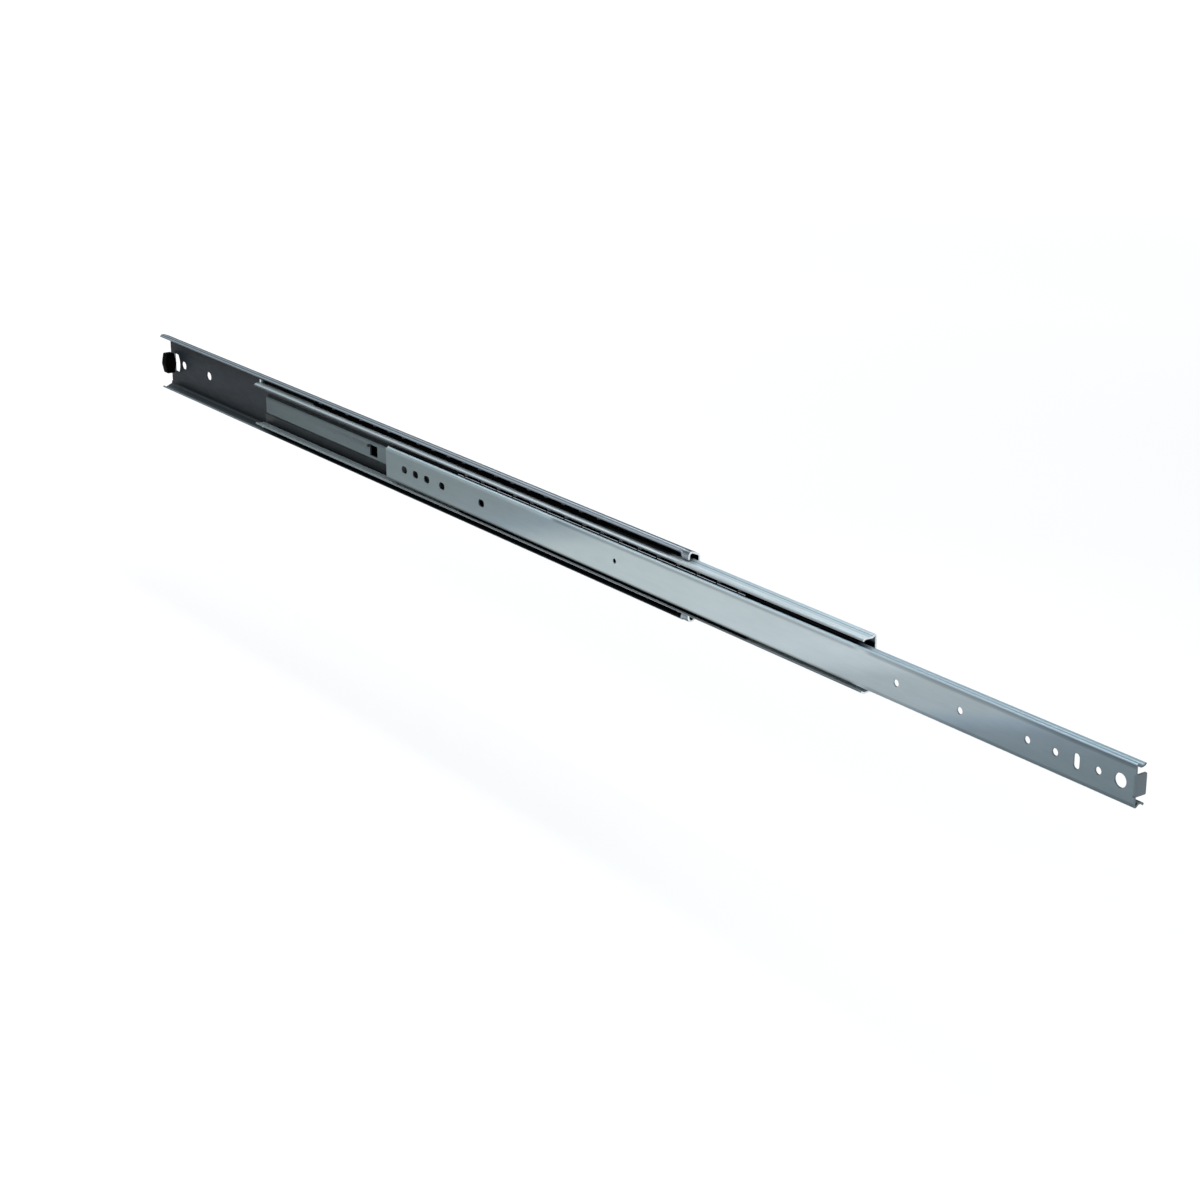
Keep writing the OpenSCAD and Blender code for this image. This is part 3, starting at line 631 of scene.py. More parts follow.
# The side walls and the inner track are painted near black as shade between the members; the higher faces
# turn light in front of the cabinet member at rest.
intermediateShadedWallLook = dict(
    intermediateLook, bands=(), metallic=0.1, specular=0.1,
    webTones=[(-599, (40, 45, 47)), (-365, (34, 38, 40)), (-325, (10, 11, 12)), (311, (8, 9, 10))],
    flangeTones=[(-599, (22, 25, 27)), (-340, (10, 11, 12)), (85, (8, 9, 10)), (103, (120, 136, 144)),
                 (311, (128, 146, 154))])
cabinetLook = {
    "span": (cabinetRear, cabinetFront), "slant": 0.0,
    "webTones": [(-817, (120, 130, 136)), (101, (120, 130, 136))],
    "flangeTones": [(-817, (117, 127, 134)), (-480, (114, 124, 131)), (101, (117, 126, 134))],
    # The bands paint highlights along the bends and shade between them; the last one paints the pressed lug
    # at the front darker as shade.
    "bands": [{"by": "depth", "stops": [(0.0, 0.45), (7.6, 0.5), (8.4, 0.9), (8.9, 1.9), (9.5, 2.1),
                                        (10.0, 1.3), (10.4, 0.7), (10.9, 0.7), (11.3, 1.4), (11.7, 2.1),
                                        (12.1, 0.9), (12.7, 0.4)]},
              {"by": "depth", "beyond": -450, "run": 450,
               "stops": [(8.2, 1.0), (8.8, 1.4), (9.6, 1.4), (10.2, 1.0)]},
              {"by": "height", "beyond": 86, "stops": [(0.0, 0.6), (30.0, 0.6)]}],
    "flangeFrom": 23.5, "flangeFull": 25.0, "streak": 0.3, "cloud": 0.3,
    "metallic": 0.6, "roughness": 0.38,
}
# The inside of the cabinet member is painted in shade: near black where the intermediate member covered it
# at rest, dark grey behind it, with painted highlights along the lips.
cabinetShadedInsideLook = dict(
    cabinetLook, streak=0.15, metallic=0.0, specular=0.04, flangeFrom=24.3, flangeFull=25.0,
    webTones=[(-817, (33, 40, 46)), (-640, (34, 41, 47)), (-600, (36, 43, 48)), (-570, (9, 10, 11)),
              (101, (8, 9, 9))],
    flangeTones=[(-817, (63, 69, 73)), (-610, (54, 60, 63)), (-575, (8, 9, 9)), (101, (7, 8, 8))],
    bands=[{"by": "height", "stops": [(0.0, 1.0), (9.0, 0.9), (18.0, 0.62), (22.5, 0.5), (23.8, 0.55),
                                      (24.5, 1.4), (25.2, 1.0)]},
           {"by": "depth", "stops": [(1.6, 0.5), (2.3, 0.5), (2.7, 2.2), (3.1, 0.8), (5.0, 0.8), (7.4, 1.2),
                                     (8.0, 1.9), (8.6, 1.2), (10.4, 1.1), (11.2, 2.0), (11.9, 4.0),
                                     (13.0, 5.0)]}])
zincDrawer = zincFinish("zincDrawer", drawerLook)
drawerShadedBack = zincFinish("drawerShadedBack", drawerShadedBackLook)
drawerTrack = zincFinish("drawerTrack", drawerTrackLook)
zincIntermediate = zincFinish("zincIntermediate", intermediateLook)
intermediateTrack = zincFinish("intermediateTrack", intermediateTrackLook)
intermediateShadedWall = zincFinish("intermediateShadedWall", intermediateShadedWallLook)
zincCabinet = zincFinish("zincCabinet", cabinetLook)
cabinetShadedInside = zincFinish("cabinetShadedInside", cabinetShadedInsideLook)
# Cut edges of bare steel, painted nearly white: partly their own bare metal, partly a painted highlight
# along the edges.
bareEdgeHighlight = plainFinish("bareEdgeHighlight", {
    "tone": (226, 233, 236), "vary": 0.05, "metallic": 0.3, "specular": 0.5,
    "roughness": 0.5, "bump": 0.1, "grainScale": 900})
tabZinc = plainFinish("tabZinc", {
    "tone": (97, 108, 114), "vary": 0.06, "metallic": 0.3, "specular": 0.2,
    "roughness": 0.5, "bump": 0.1, "grainScale": 900})
# The outer cages' own black, also used as painted shade on the grey inner cages outside their band and all
# over the lower one.
blackCageAndShade = plainFinish("blackCageAndShade", {
    "tone": (4, 4, 5), "vary": 0.25, "metallic": 0.0, "specular": 0.0,
    "roughness": 0.9, "bump": 0.1, "grainScale": 700})
greyCage = plainFinish("greyCage", {
    "tone": (140, 150, 160), "vary": 0.08, "metallic": 0.5, "specular": 0.5,
    "roughness": 0.4, "bump": 0.1, "grainScale": 700})
# Steel balls painted dark as the shade of the gaps they run in.
ballSteel = plainFinish("ballSteel", {
    "tone": (62, 65, 68), "vary": 0.05, "metallic": 0.9, "specular": 0.2,
    "roughness": 0.22, "bump": 0.02, "grainScale": 500})
blackRubber = plainFinish("blackRubber", {
    "tone": (2, 2, 2), "vary": 0.3, "metallic": 0.0, "specular": 0.03,
    "roughness": 0.8, "bump": 0.3, "grainScale": 1100})
print("stage: finishes made")

# Cabinet rail

cabinetDetail = {
    "lugLength": 9.2, "crimp": 1.6, "edge": 0.18,
    "setBack": 2.2, "setBackHalf": 22.5,
    "slotWidth": 8.2, "slotLength": 10.5, "slotAt": 31.3, "slotSpacing": 57.15,
    "hole": 6.4, "holeSpacing": 64.0,
    "windowRear": 10.2, "windowLength": 12.4, "windowHalf": 9.6, "windowBow": 3.4,
    "holderHalf": 5.5, "holderReach": 10.5, "holderRoot": 3.4, "holderBend": 0.2, "holderCorner": 1.2,
}
tabShare = 0.98  # a tab turned out of its sheet is a little thinner, so no faces coincide


# Straight at the rear. The front edge is an arc through both corners, whose radius is the half width
# squared plus the bow squared over twice the bow.
def bowedWindow(c, rear):
    half, bow = c["windowHalf"], c["windowBow"]
    r = (half * half + bow * bow) / (2 * bow)
    front = rear + c["windowLength"]
    a = np.linspace(-math.asin(half / r), math.asin(half / r), 24)
    arc = np.stack([front - r + r * np.cos(a), r * np.sin(a)], 1)
    return np.vstack([[rear, -half], arc, [rear, half]])


# The inside is the web's face towards the drawer and the underside of the flanges; it is painted in shade.
def cabinetRegions(x, depth, height, normal, area):
    web = (normal[:, 1] > 0.6) & (depth < 3)
    under = normal[:, 2] < -0.05
    index = np.where(web | under, 1, 0)
    ends = (cabinetFront, cabinetRear, cabinetRear + cabinetDetail["setBack"])
    index[cutEnds(x, normal, area, ends)] = 2
    return index


# The path in x and y of a tab that is turned out of its web: from the root along the web to the
# corner, round the bend, and straight out to the tip, with stations at some distances before the tip,
# where the rounding of its end starts.
def tabPath(root, corner, tip, bend, steps, before):
    out = heading(corner, tip)
    straight = [endStation(tip - back * out, corner, tip) for back in before]
    return np.vstack([endStation(root, root, corner), bendStations(root, corner, tip, bend, steps),
                      *straight, endStation(tip, corner, tip)])


# Two sections carried along X with chamfered end edges. Over the crimp the plain one becomes the
# pressed lug by a share of three t squared less two t cubed.
def cabinetRings(plain, lug, sheet, c):
    e, crimpAt = c["edge"], cabinetFront - c["lugLength"]
    stations = [(cabinetRear, stripOutline(plain, sheet, e)), (cabinetRear + e, stripOutline(plain, sheet)),
                (crimpAt, stripOutline(plain, sheet))]
    for t in np.linspace(0, 1, 5)[1:]:
        w = t * t * (3 - 2 * t)
        blend = (1 - w) * stripOutline(plain, sheet) + w * stripOutline(lug, sheet)
        stations.append((crimpAt + c["crimp"] * t, blend))
    stations += [(cabinetFront - e, stripOutline(lug, sheet)), (cabinetFront, stripOutline(lug, sheet, e))]
    xs, rings = zip(*stations)
    return rings, xs


# The swept rail, its window, set-back rear edge, slots and holes, and the holder tab of the bumper.
def makeCabinetRail(c):
    sheet = slideSizes["cabinetSheet"]
    rings, xs = cabinetRings(*cabinetPaths(cabinetSection), sheet, c)
    rail = newPiece("cabinetRail", sweptMesh("cabinetRail", rings, xs))
    windowRear = cabinetRear + c["windowRear"]
    cuts = [prism(bowedWindow(c, windowRear), -past, sheet + past),
            block(cabinetRear - past, cabinetRear + c["setBack"], -past, sheet + past,
                  -c["setBackHalf"], c["setBackHalf"])]
    for i in (0, 1):
        slotX = cabinetRear + c["slotAt"] + i * c["slotSpacing"]
        cuts.append(holeCutter(slotX, c["slotWidth"], 0, sheet, lengthX=c["slotLength"]))
    cuts += [holeCutter(i * c["holeSpacing"], c["hole"], 0, sheet) for i in (-1, 0, 1)]
    cutOrJoin(rail, cuts, "DIFFERENCE")
    mid = sheet / 2
    root, corner = np.array([windowRear - c["holderRoot"], -mid]), np.array([windowRear - mid, -mid])
    tip = np.array([windowRear - mid, -c["holderReach"]])
    path = tabPath(root, corner, tip, mid + c["holderBend"], steps=6, before=[1.5])
    holder = bentTab(path, sheet * tabShare, c["holderHalf"], c["holderCorner"])
    cutOrJoin(rail, [holder], "UNION")
    smoothed(rail)
    paint(rail, [zincCabinet, cabinetShadedInside, bareEdgeHighlight], cabinetRegions)
    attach(rail, "cabinet_side")
    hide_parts("cabinet_member")


makeCabinetRail(cabinetDetail)
print("stage: cabinet rail")

# Intermediate rail

intermediateDetail = {
    "edge": 0.18, "notch": 10.5, "notchHalf": 11.3,
    "lanceAt": 212.1, "lanceLength": 13.4, "lanceHeight": 10.4,
    "lugOut": 3.0, "lugHeight": 2.6, "lugRoot": 3.2, "lugBend": 0.15, "lugCorner": 0.5,
    "rearStop": 3.0, "rearStopIn": 1.0, "rearStopOut": 1.4,
    "innerStopAt": 12.0, "innerStopLength": 2.0,
    "innerStopIn": 4.4, "innerStopOut": 3.2, "innerStopDrop": 0.4,
}
trackReach = 0.5  # how far past the ball race a face still counts as the track


# One section carried along X with chamfered end edges.
def straightRail(name, path, sheet, x0, x1, e):
    full, small = stripOutline(path, sheet), stripOutline(path, sheet, e)
    return newPiece(name, sweptMesh(name, [small, full, full, small], [x0, x0 + e, x1 - e, x1]))


# The outer track is the valley under the outer balls. The wall region is the inner track, with the side
# walls and jogs as seen from the drawer side. Both are painted in shade between the members, and the
# track and the higher wall faces turn light in front of the cabinet member at rest.
def intermediateRegions(x, depth, height, normal, area):
    fromOuter = np.hypot(depth - outerRow[0], height - outerRow[1])
    fromInner = np.hypot(depth - innerRow[0], height - innerRow[1])
    along = np.abs(normal[:, 0]) < 0.5
    index = np.zeros(len(x), int)
    wallLow, wallHigh, wallDepth = 7.0, 21.5, 8.4  # the side walls and the jogs beside the web
    wall = (depth < wallDepth) & (height > wallLow) & (height < wallHigh)
    index[along & (fromOuter < raceRadius + trackReach) & (normal[:, 2] > 0.1)] = 1
    index[along & wall & (normal[:, 1] > 0.2)] = 2
    index[along & (fromInner < raceRadius + trackReach) & (normal[:, 2] < 0.3)] = 2
    index[cutEnds(x, normal, area, (intermediateFront, intermediateRear))] = 3
    return index


# The lug turned out of the web at the window's rear edge, flush with the window's top.
def lanceLug(c, lanceX, webDepth, sheet):
    root = np.array([lanceX - c["lugRoot"], -webDepth])
    corner = np.array([lanceX - sheet / 2, -webDepth])
    tip = np.array([lanceX - sheet / 2, -(webDepth + sheet / 2) - c["lugOut"]])
    path = tabPath(root, corner, tip, sheet / 2 + c["lugBend"], steps=6, before=[0.8])
    lugHalf = c["lugHeight"] / 2
    return bentTab(path, sheet * tabShare, lugHalf, c["lugCorner"], c["lanceHeight"] / 2 - lugHalf)


# A pair of pressed stops, above and below: blocks between two heights and their mirror images.
def stopPair(x0, x1, d0, d1, low, high):
    return [block(x0, x1, d0, d1, low, high), block(x0, x1, d0, d1, -high, -low)]


# The rolled section, its lanced window with the lug, and the pressed stops of the cages.
def makeIntermediateRail(c):
    sheet, webDepth = slideSizes["innerSheet"], intermediateSection["webDepth"]
    path = intermediatePath(intermediateSection)
    rail = straightRail("intermediateRail", path, sheet, intermediateRear, intermediateFront, c["edge"])
    lanceX = intermediateRear + c["lanceAt"]
    half = c["lanceHeight"] / 2
    face = webDepth + sheet / 2
    window = block(lanceX, lanceX + c["lanceLength"], webDepth - sheet / 2 - past, face + past, -half, half)
    notch = block(intermediateRear - past, intermediateRear + c["notch"], 0, face + past,
                  -c["notchHalf"], c["notchHalf"])
    cutOrJoin(rail, [window, notch], "DIFFERENCE")
    valley = outerRow[1] - raceRadius - sheet / 2
    stopX = intermediateFront - c["innerStopAt"]
    parts = [lanceLug(c, lanceX, webDepth, sheet)]
    parts += stopPair(intermediateRear + overlap, intermediateRear + c["rearStop"],
                      outerRow[0] - c["rearStopIn"], outerRow[0] + c["rearStopOut"], valley, outerRow[1])
    parts += stopPair(stopX - c["innerStopLength"], stopX, innerRow[0] - c["innerStopIn"],
                      innerRow[0] - c["innerStopOut"], innerRow[1] - c["innerStopDrop"], valley)
    cutOrJoin(rail, parts, "UNION")
    smoothed(rail)
    paint(rail, [zincIntermediate, intermediateTrack, intermediateShadedWall, bareEdgeHighlight], intermediateRegions)
    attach(rail, "intermediate")
    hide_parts("intermediate_member")


makeIntermediateRail(intermediateDetail)
print("stage: intermediate rail")

# Drawer rail

drawerDetail = {
    "edge": 0.18, "access": 10.0, "accessAt": 12.7,
    "screw": 5.3, "screwAt": (31.75, 69.85, 95.25, 159.25, 223.25),
    "uprightAt": 50.8, "uprightLength": 11.0, "pilot": 4.2, "pilotAt": 558.8,
    "slotWidth": 6.3, "slotLength": 9.2, "slotAt": (159.25, 95.25, 69.85, 50.8, 31.75),
    "tabHalf": 7.6, "tabReach": 8.7, "tabBend": 1.2, "tabCorner": 1.0,
    "tabZone": 2.0, "tabMargin": 0.2, "rearCorner": 2.5,
    "rearStop": 3.0, "rearStopIn": 4.1, "rearStopOut": 2.7, "rearStopDrop": 3.0, "rearStopRise": 0.6,
}


# The back is the inner side of the web and of the groove, painted in shade, the track is the groove
# under the inner balls, painted in shade as far as the intermediate member reached at rest, and the tab
# and the cut ends have their own tone.
def drawerRegions(x, depth, height, normal, area):
    fromInner = np.hypot(depth - innerRow[0], height - innerRow[1])
    along = np.abs(normal[:, 0]) < 0.5
    webInside, grooveInside = depth > 16.0, depth < 16.4
    inside = ((normal[:, 1] < -0.3) & webInside) | ((normal[:, 2] < -0.1) & grooveInside)
    index = np.where(inside & along, 1, 0)
    index[along & (fromInner < raceRadius + trackReach)] = 2
    c = drawerDetail
    tab = (x > drawerFront - c["tabBend"] - c["tabZone"]) & (height < c["tabHalf"] + c["tabMargin"])
    index[cutEnds(x, normal, area, (drawerFront, drawerRear)) | (tab & ~along)] = 3
    return index


# A square less its quarter circle: the outline runs along the arc and back round the outside.
def rearCornerCut(r, edgeZ, side):
    a = np.linspace(math.pi / 2, math.pi, 12)
    arc = np.stack([drawerRear + r + r * np.cos(a), edgeZ - r + r * np.sin(a)], 1)
    x0, top = drawerRear - past, edgeZ + 2 * past
    outline = np.vstack([arc, [[x0, edgeZ - r], [x0, top], [drawerRear + r, top]]]) * [1, side]
    return prism(outline, slideSizes["slideDepth"] - slideSizes["innerSheet"] - past,
                 slideSizes["slideDepth"] + past)


# The rolled section with its holes, the notch for the tab, the bent tab and the rear stops.
def makeDrawerRail(c):
    sheet, depth = slideSizes["innerSheet"], slideSizes["slideDepth"]
    section = drawerPath(drawerSection)
    rail = straightRail("drawerRail", section, sheet, drawerRear, drawerFront, c["edge"])
    near, bendOut = depth - sheet, c["tabBend"] + sheet
    rounds = [(c["accessAt"], c["access"])] + [(at, c["screw"]) for at in c["screwAt"]]
    cuts = [holeCutter(drawerFront - at, width, near, depth) for at, width in rounds]
    uprightX = drawerFront - c["uprightAt"]
    cuts.append(holeCutter(uprightX, c["screw"], near, depth, lengthZ=c["uprightLength"]))
    cuts.append(holeCutter(drawerFront - c["pilotAt"], c["pilot"], near, depth))
    cuts += [holeCutter(drawerRear + at, c["slotWidth"], near, depth, lengthX=c["slotLength"])
             for at in c["slotAt"]]
    cuts += [rearCornerCut(c["rearCorner"], float(section[:, 1].max()), side) for side in (1, -1)]
    cuts.append(block(drawerFront - bendOut, drawerFront + past, near - past, depth + past,
                      -c["tabHalf"], c["tabHalf"]))
    cutOrJoin(rail, cuts, "DIFFERENCE")
    mid = -(depth - sheet / 2)
    root = np.array([drawerFront - bendOut - overlap, mid])
    corner = np.array([drawerFront - sheet / 2, mid])
    tip = np.array([drawerFront - sheet / 2, -c["tabReach"]])
    before = np.linspace(c["tabCorner"], 0, 7)[:-1]
    path = tabPath(root, corner, tip, c["tabBend"] + sheet / 2, steps=10, before=before)
    tab = bentTab(path, sheet, c["tabHalf"], c["tabCorner"])
    stops = stopPair(drawerRear + overlap, drawerRear + c["rearStop"], innerRow[0] - c["rearStopIn"],
                     innerRow[0] - c["rearStopOut"], innerRow[1] - c["rearStopDrop"],
                     innerRow[1] + c["rearStopRise"])
    cutOrJoin(rail, [tab, *stops], "UNION")
    smoothed(rail)
    paint(rail, [zincDrawer, drawerShadedBack, drawerTrack, tabZinc], drawerRegions)
    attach(rail, "drawer_side")
    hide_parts("drawer_member")


makeDrawerRail(drawerDetail)
print("stage: drawer rail")

# Bumper

bumperDetail = {"base": 1.7, "reach": 14.6, "height": 21.0, "point": 2.2, "round": 0.9, "edge": 0.7}
bumperSharp = 40  # degrees


# A six-sided section with its points at mid-height and rounded corners, carried along X. The
# end edges are quarter rounds: the ring steps in by one less the sine while x moves by one less the
# cosine, both times the edge.
def makeBumper(c):
    half, low, high = c["height"] / 2, c["base"] + c["point"], c["reach"] - c["point"]
    hexagon = [[c["base"], 0], [low, -half], [high, -half], [c["reach"], 0], [high, half], [low, half]]
    rounded = np.vstack([bendStations(hexagon[i - 1], hexagon[i], hexagon[(i + 1) % 6], c["round"], steps=5)
                         for i in range(6)])
    x0, x1 = nodeSpan("rear_bumper")
    a = np.linspace(0, math.pi / 2, 6)
    stepIn = c["edge"] * (1 - np.sin(a))
    out = c["edge"] * (1 - np.cos(a))
    xs = np.concatenate([x0 + out, (x1 - out)[::-1]])
    inset = np.concatenate([stepIn, stepIn[::-1]])
    rings = rounded[None, :, :2] + inset[:, None, None] * rounded[None, :, 2:]
    bumper = newPiece("rearBumper", sweptMesh("rearBumper", rings, xs))
    smoothed(bumper, bumperSharp)
    paint(bumper, [blackRubber])
    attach(bumper, "cabinet_side")
    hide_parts("rear_bumper")


makeBumper(bumperDetail)
print("stage: bumper")

# Cages and balls

cageDetail = {
    "stripHalf": 0.45, "railThick": 0.75, "stripReach": 4.2, "railGap": 0.15,
    "pocketGap": 0.1, "pocketHalf": 0.9, "pocketSides": 28, "slitGap": 0.01, "lightDepth": 0.05,
}
cageLooks = {
    "outer": {"row": outerRow, "count": 19, "margin": 8.9, "railLow": -2.0, "railHigh": 1.2, "slit": 0.0,
              "lightBand": (-1.0, 0.4), "finish": blackCageAndShade, "slot": "dark_cage"},
    "inner": {"row": innerRow, "count": 16, "margin": 9.5, "railLow": -0.65, "railHigh": 1.1, "slit": 1.6,
              "lightBand": (0.0, 0.5), "finish": greyCage, "slot": "grey_cage"},
}
ballDetail = {"bands": 14, "sides": 28}


# The strip lies at the height of the ball centres, and the rail stands at its outer edge. The
# corners go round once, with two on the rail's face where its light band starts and ends.
def cageOutline(look, c):
    row, half = look["row"], c["stripHalf"]
    inside, railIn = row[0] - c["stripReach"], row[0] + ballRadius + c["railGap"]
    railOut, (lightLow, lightHigh) = railIn + c["railThick"], look["lightBand"]
    corners = [[inside, -half], [railIn, -half], [railIn, look["railLow"]], [railOut, look["railLow"]],
               [railOut, lightLow], [railOut, lightHigh], [railOut, look["railHigh"]],
               [railIn, look["railHigh"]], [railIn, half], [inside, half]]
    return np.array(corners) + [0, row[1]], railIn, railOut


# A round pocket: the ball's circle with its gap, at two heights.
def pocketCutter(x, row, sign, c):
    t = np.linspace(0, 2 * math.pi, c["pocketSides"], endpoint=False)
    r = ballRadius + c["pocketGap"]
    rings = [np.stack([x + r * np.cos(t), -row[0] + r * np.sin(t), np.full(len(t), sign * z)], 1)
             for z in (row[1] - c["pocketHalf"], row[1] + c["pocketHalf"])]
    return gridMesh("pocket", np.array(rings) * mm)


# The outline carried along X, less a pocket for each ball and a slit through the rail beside it.
# Of the upper cages the rail's outer face keeps the cage's own finish between two heights. Everything
# else is black: the outer cages' own colour, and painted shade on the inner cages.
def makeCage(kind, end, look, c):
    sign = 1 if end == "upper" else -1
    row, slit = look["row"], look["slit"]
    outline, railIn, railOut = cageOutline(look, c)
    outline = outline * [1, sign]
    node, body = f"{kind}_cage_{end}", f"{end}_{kind}_cage"
    x0, x1 = nodeSpan(node)
    cage = newPiece(kind + "Cage" + end.capitalize(), sweptMesh("cage", [outline, outline], [x0, x1]))
    cuts = []
    railEnds = (row[1] + look["railLow"] - past, row[1] + look["railHigh"] + past)
    low, high = sorted(sign * z for z in railEnds)
    for i in range(look["count"]):
        x = x1 - look["margin"] - i * slideSizes["ballPitch"]
        cuts.append(pocketCutter(x, row, sign, c))
        if slit:
            cuts.append(block(x - slit / 2, x + slit / 2, railIn + c["slitGap"], railOut + past, low, high))
    cutOrJoin(cage, cuts, "DIFFERENCE")
    smoothed(cage)

    def lightFaces(x, depth, height, normal, area):
        lightLow, lightHigh = look["lightBand"]
        inBand = (height > row[1] + lightLow) & (height < row[1] + lightHigh)
        return np.where((depth > railOut - c["lightDepth"]) & inBand, 1, 0)

    paint(cage, [blackCageAndShade, look["finish"] if sign > 0 else blackCageAndShade], lightFaces)
    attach(cage, body)
    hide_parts(node)
    for group in ("front", "middle", "rear"):
        makeBalls(f"{kind}_balls_{end}_{group}", body, row, sign)


# Points of a sphere of radius one from its latitude and longitude, from pole to pole, and its faces:
# quads between the rings and triangles at both poles.
def unitBall(bands, sides):
    lat = np.linspace(0, math.pi, bands + 1)[1:-1]
    lon = np.linspace(0, 2 * math.pi, sides, endpoint=False)
    rings = np.stack([np.outer(np.sin(lat), np.cos(lon)), np.outer(np.sin(lat), np.sin(lon)),
                      np.outer(np.cos(lat), np.ones(sides))], -1).reshape(-1, 3)
    points = np.vstack([[[0, 0, 1]], rings, [[0, 0, -1]]])
    idx = 1 + np.arange(len(rings)).reshape(bands - 1, sides)
    nxt = np.roll(idx, -1, 1)
    quads = np.stack([idx[:-1], idx[1:], nxt[1:], nxt[:-1]], -1).reshape(-1, 4).tolist()
    last = len(points) - 1
    caps = [[0, int(a), int(b)] for a, b in zip(idx[0], nxt[0])]
    caps += [[last, int(b), int(a)] for a, b in zip(idx[-1], nxt[-1])]
    return points, quads + caps


# Balls at the ball pitch: the unit ball's points times the radius, added to each centre. Their
# number follows from the node's length.
def makeBalls(node, body, row, sign):
    x0, x1 = nodeSpan(node)
    pitch = slideSizes["ballPitch"]
    count = int(round((x1 - x0 - 2 * ballRadius) / pitch)) + 1
    points, ballFaces = unitBall(ballDetail["bands"], ballDetail["sides"])
    verts, faces = [], []
    for i in range(count):
        centre = np.array([x1 - ballRadius - i * pitch, -row[0], sign * row[1]])
        verts.append(points * ballRadius + centre)
        faces += [[v + i * len(points) for v in face] for face in ballFaces]
    mesh = bpy.data.meshes.new(node)
    mesh.from_pydata((np.vstack(verts) * mm).tolist(), [], faces)
    mesh.update()
    fixWinding(mesh)
    words = node.split("_")
    balls = newPiece(words[0] + "".join(word.capitalize() for word in words[1:]), mesh)
    balls.data.shade_smooth()
    paint(balls, [ballSteel])
    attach(balls, body)
    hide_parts(node)


for kind in ("outer", "inner"):
    for end in ("upper", "lower"):
        makeCage(kind, end, cageLooks[kind], cageDetail)
print("stage: cages and balls")

# Floor, light and camera

# Places and sizes are in metres here. The floor's glow for the camera, [distance from the slide,
# strength], grows as the light of its lamps fades.
studio = {
    "floorAt": -0.22, "floorHalf": 30.0, "floorTone": 0.86, "glossGlow": 0.6, "glowReach": 10.0,
    "cameraGlow": [(0.2, 0.03), (0.9, 0.06), (1.3, 0.14), (2.0, 0.3), (3.5, 0.5), (7.0, 0.6)],
    "skyColour": (0.94, 0.97, 1.0, 1), "skyLevel": 0.6,
}
softboxes = {
    "keyBox": {"place": (0.9, -1.8, 1.5), "aim": (0.0, 0.0, 0.0), "size": (1.6, 1.2), "power": 16.0},
    "topBox": {"place": (-0.1, 0.25, 1.9), "aim": (-0.1, 0.0, 0.0), "size": (2.6, 1.0), "power": 26.0},
    "rimBox": {"place": (-1.6, -1.2, 0.9), "aim": (-0.3, 0.0, 0.0), "size": (1.2, 0.8), "power": 6.0},
}
photoView = {
    "place": (1.5349, -1.1208, 0.6224), "azimuth": 54.445, "elevation": 19.235, "roll": -0.148,
    "sensor": 36.0, "lens": 73.89, "clip": (0.05, 100),
}


# The floor is plain and lit. Near the slide the lamps nearly make it white, so the shadow stays, and
# further out the glow for the camera makes up for the fading lamps. Gloss sees a steady glow.
def floorFinish(c):
    mat = bpy.data.materials.new("paleFloor")
    mat.use_nodes = True
    nodes, links = mat.node_tree.nodes, mat.node_tree.links
    nodes.clear()
    out = nodes.new("ShaderNodeOutputMaterial")
    shader = nodes.new("ShaderNodeBsdfDiffuse")
    shader.inputs[0].default_value = greyed(c["floorTone"])
    glow = nodes.new("ShaderNodeEmission")
    ray = nodes.new("ShaderNodeLightPath")
    coords = nodes.new("ShaderNodeTexCoord")
    away = nodes.new("ShaderNodeVectorMath")
    away.operation = "LENGTH"
    links.new(coords.outputs["Object"], away.inputs[0])
    share = mathNode(nodes, links, "DIVIDE", away.outputs["Value"], c["glowReach"])
    level = rampNode(nodes, links, share, [(at / c["glowReach"], greyed(v)) for at, v in c["cameraGlow"]])
    toCamera = mathNode(nodes, links, "MULTIPLY", level, ray.outputs["Is Camera Ray"])
    toGloss = mathNode(nodes, links, "MULTIPLY", ray.outputs["Is Glossy Ray"], c["glossGlow"])
    links.new(mathNode(nodes, links, "MAXIMUM", toCamera, toGloss), glow.inputs[1])
    both = nodes.new("ShaderNodeAddShader")
    links.new(shader.outputs[0], both.inputs[0])
    links.new(glow.outputs[0], both.inputs[1])
    links.new(both.outputs[0], out.inputs[0])
    return mat


# One square, half its width to each side of the origin, below the slide.
def makeFloor(c):
    half, z = c["floorHalf"], c["floorAt"]
    mesh = bpy.data.meshes.new("paleFloor")
    corners = [(-half, -half, z), (half, -half, z), (half, half, z), (-half, half, z)]
    mesh.from_pydata(corners, [], [(0, 1, 2, 3)])
    mesh.materials.append(floorFinish(c))
    newPiece("paleFloor", mesh)


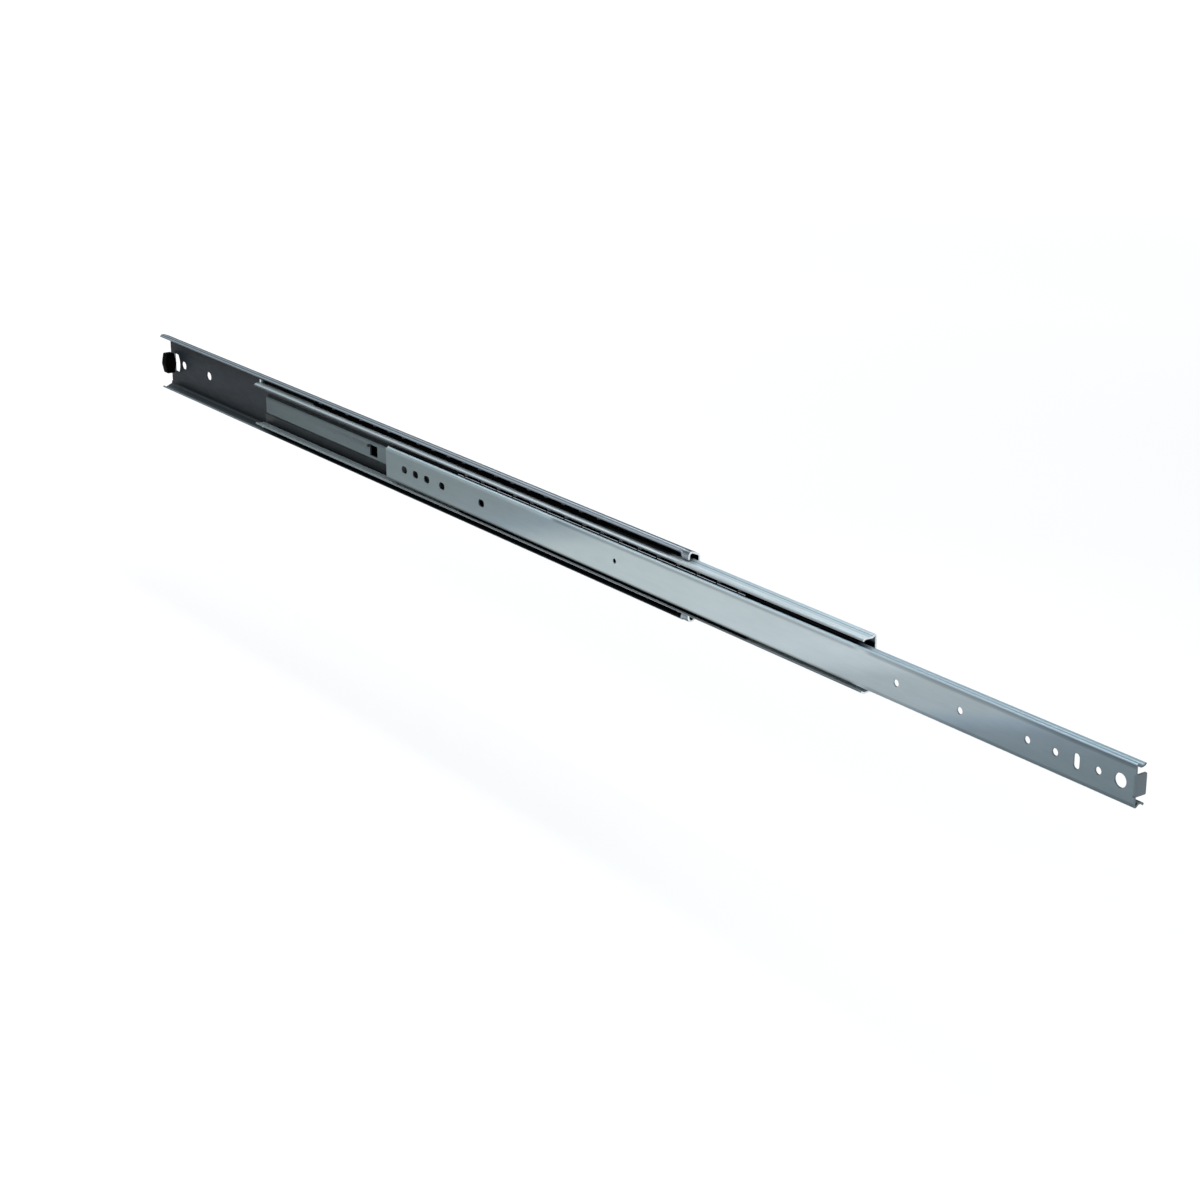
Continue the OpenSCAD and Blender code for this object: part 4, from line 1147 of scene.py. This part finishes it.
# White where the camera looks past the floor, and a plain level of light otherwise.
def makeSky(c):
    world = bpy.data.worlds.new("studioSky")
    bpy.context.scene.world = world
    world.use_nodes = True
    nodes, links = world.node_tree.nodes, world.node_tree.links
    nodes.clear()
    out = nodes.new("ShaderNodeOutputWorld")
    light, white = nodes.new("ShaderNodeBackground"), nodes.new("ShaderNodeBackground")
    light.inputs[0].default_value = c["skyColour"]
    light.inputs[1].default_value = c["skyLevel"]
    white.inputs[0].default_value = greyed(1.0)
    white.inputs[1].default_value = 1.0
    ray = nodes.new("ShaderNodeLightPath")
    mix = nodes.new("ShaderNodeMixShader")
    links.new(ray.outputs["Is Camera Ray"], mix.inputs[0])
    links.new(light.outputs[0], mix.inputs[1])
    links.new(white.outputs[0], mix.inputs[2])
    links.new(mix.outputs[0], out.inputs[0])


# A rectangle of light that faces its aim.
def makeSoftbox(name, c):
    data = bpy.data.lights.new(name, "AREA")
    data.shape = "RECTANGLE"
    data.size, data.size_y = c["size"]
    data.energy = c["power"]
    lamp = bpy.data.objects.new(name, data)
    bpy.context.scene.collection.objects.link(lamp)
    lamp.location = c["place"]
    lamp.rotation_euler = (Vector(c["aim"]) - Vector(c["place"])).to_track_quat("-Z", "Y").to_euler()


# The photo's own viewpoint. The axis back from the object comes from azimuth and elevation, and the
# other two axes are turned about it by the roll.
def makeCamera(c):
    az, el, roll = (math.radians(c[key]) for key in ("azimuth", "elevation", "roll"))
    back = Vector((math.sin(az) * math.cos(el), -math.cos(az) * math.cos(el), math.sin(el)))
    level = Vector((0, 0, 1)).cross(back).normalized()
    upright = back.cross(level)
    right = level * math.cos(roll) + upright * math.sin(roll)
    up = upright * math.cos(roll) - level * math.sin(roll)
    data = bpy.data.cameras.new("photoView")
    data.sensor_width, data.lens = c["sensor"], c["lens"]
    data.clip_start, data.clip_end = c["clip"]
    cam = bpy.data.objects.new("photoView", data)
    bpy.context.scene.collection.objects.link(cam)
    cam.matrix_world = Matrix.Translation(c["place"]) @ Matrix((right, up, back)).transposed().to_4x4()
    bpy.context.scene.camera = cam


makeFloor(studio)
makeSky(studio)
for name, box in softboxes.items():
    makeSoftbox(name, box)
makeCamera(photoView)
bpy.context.scene.view_settings.view_transform = "Standard"
print("stage: studio")
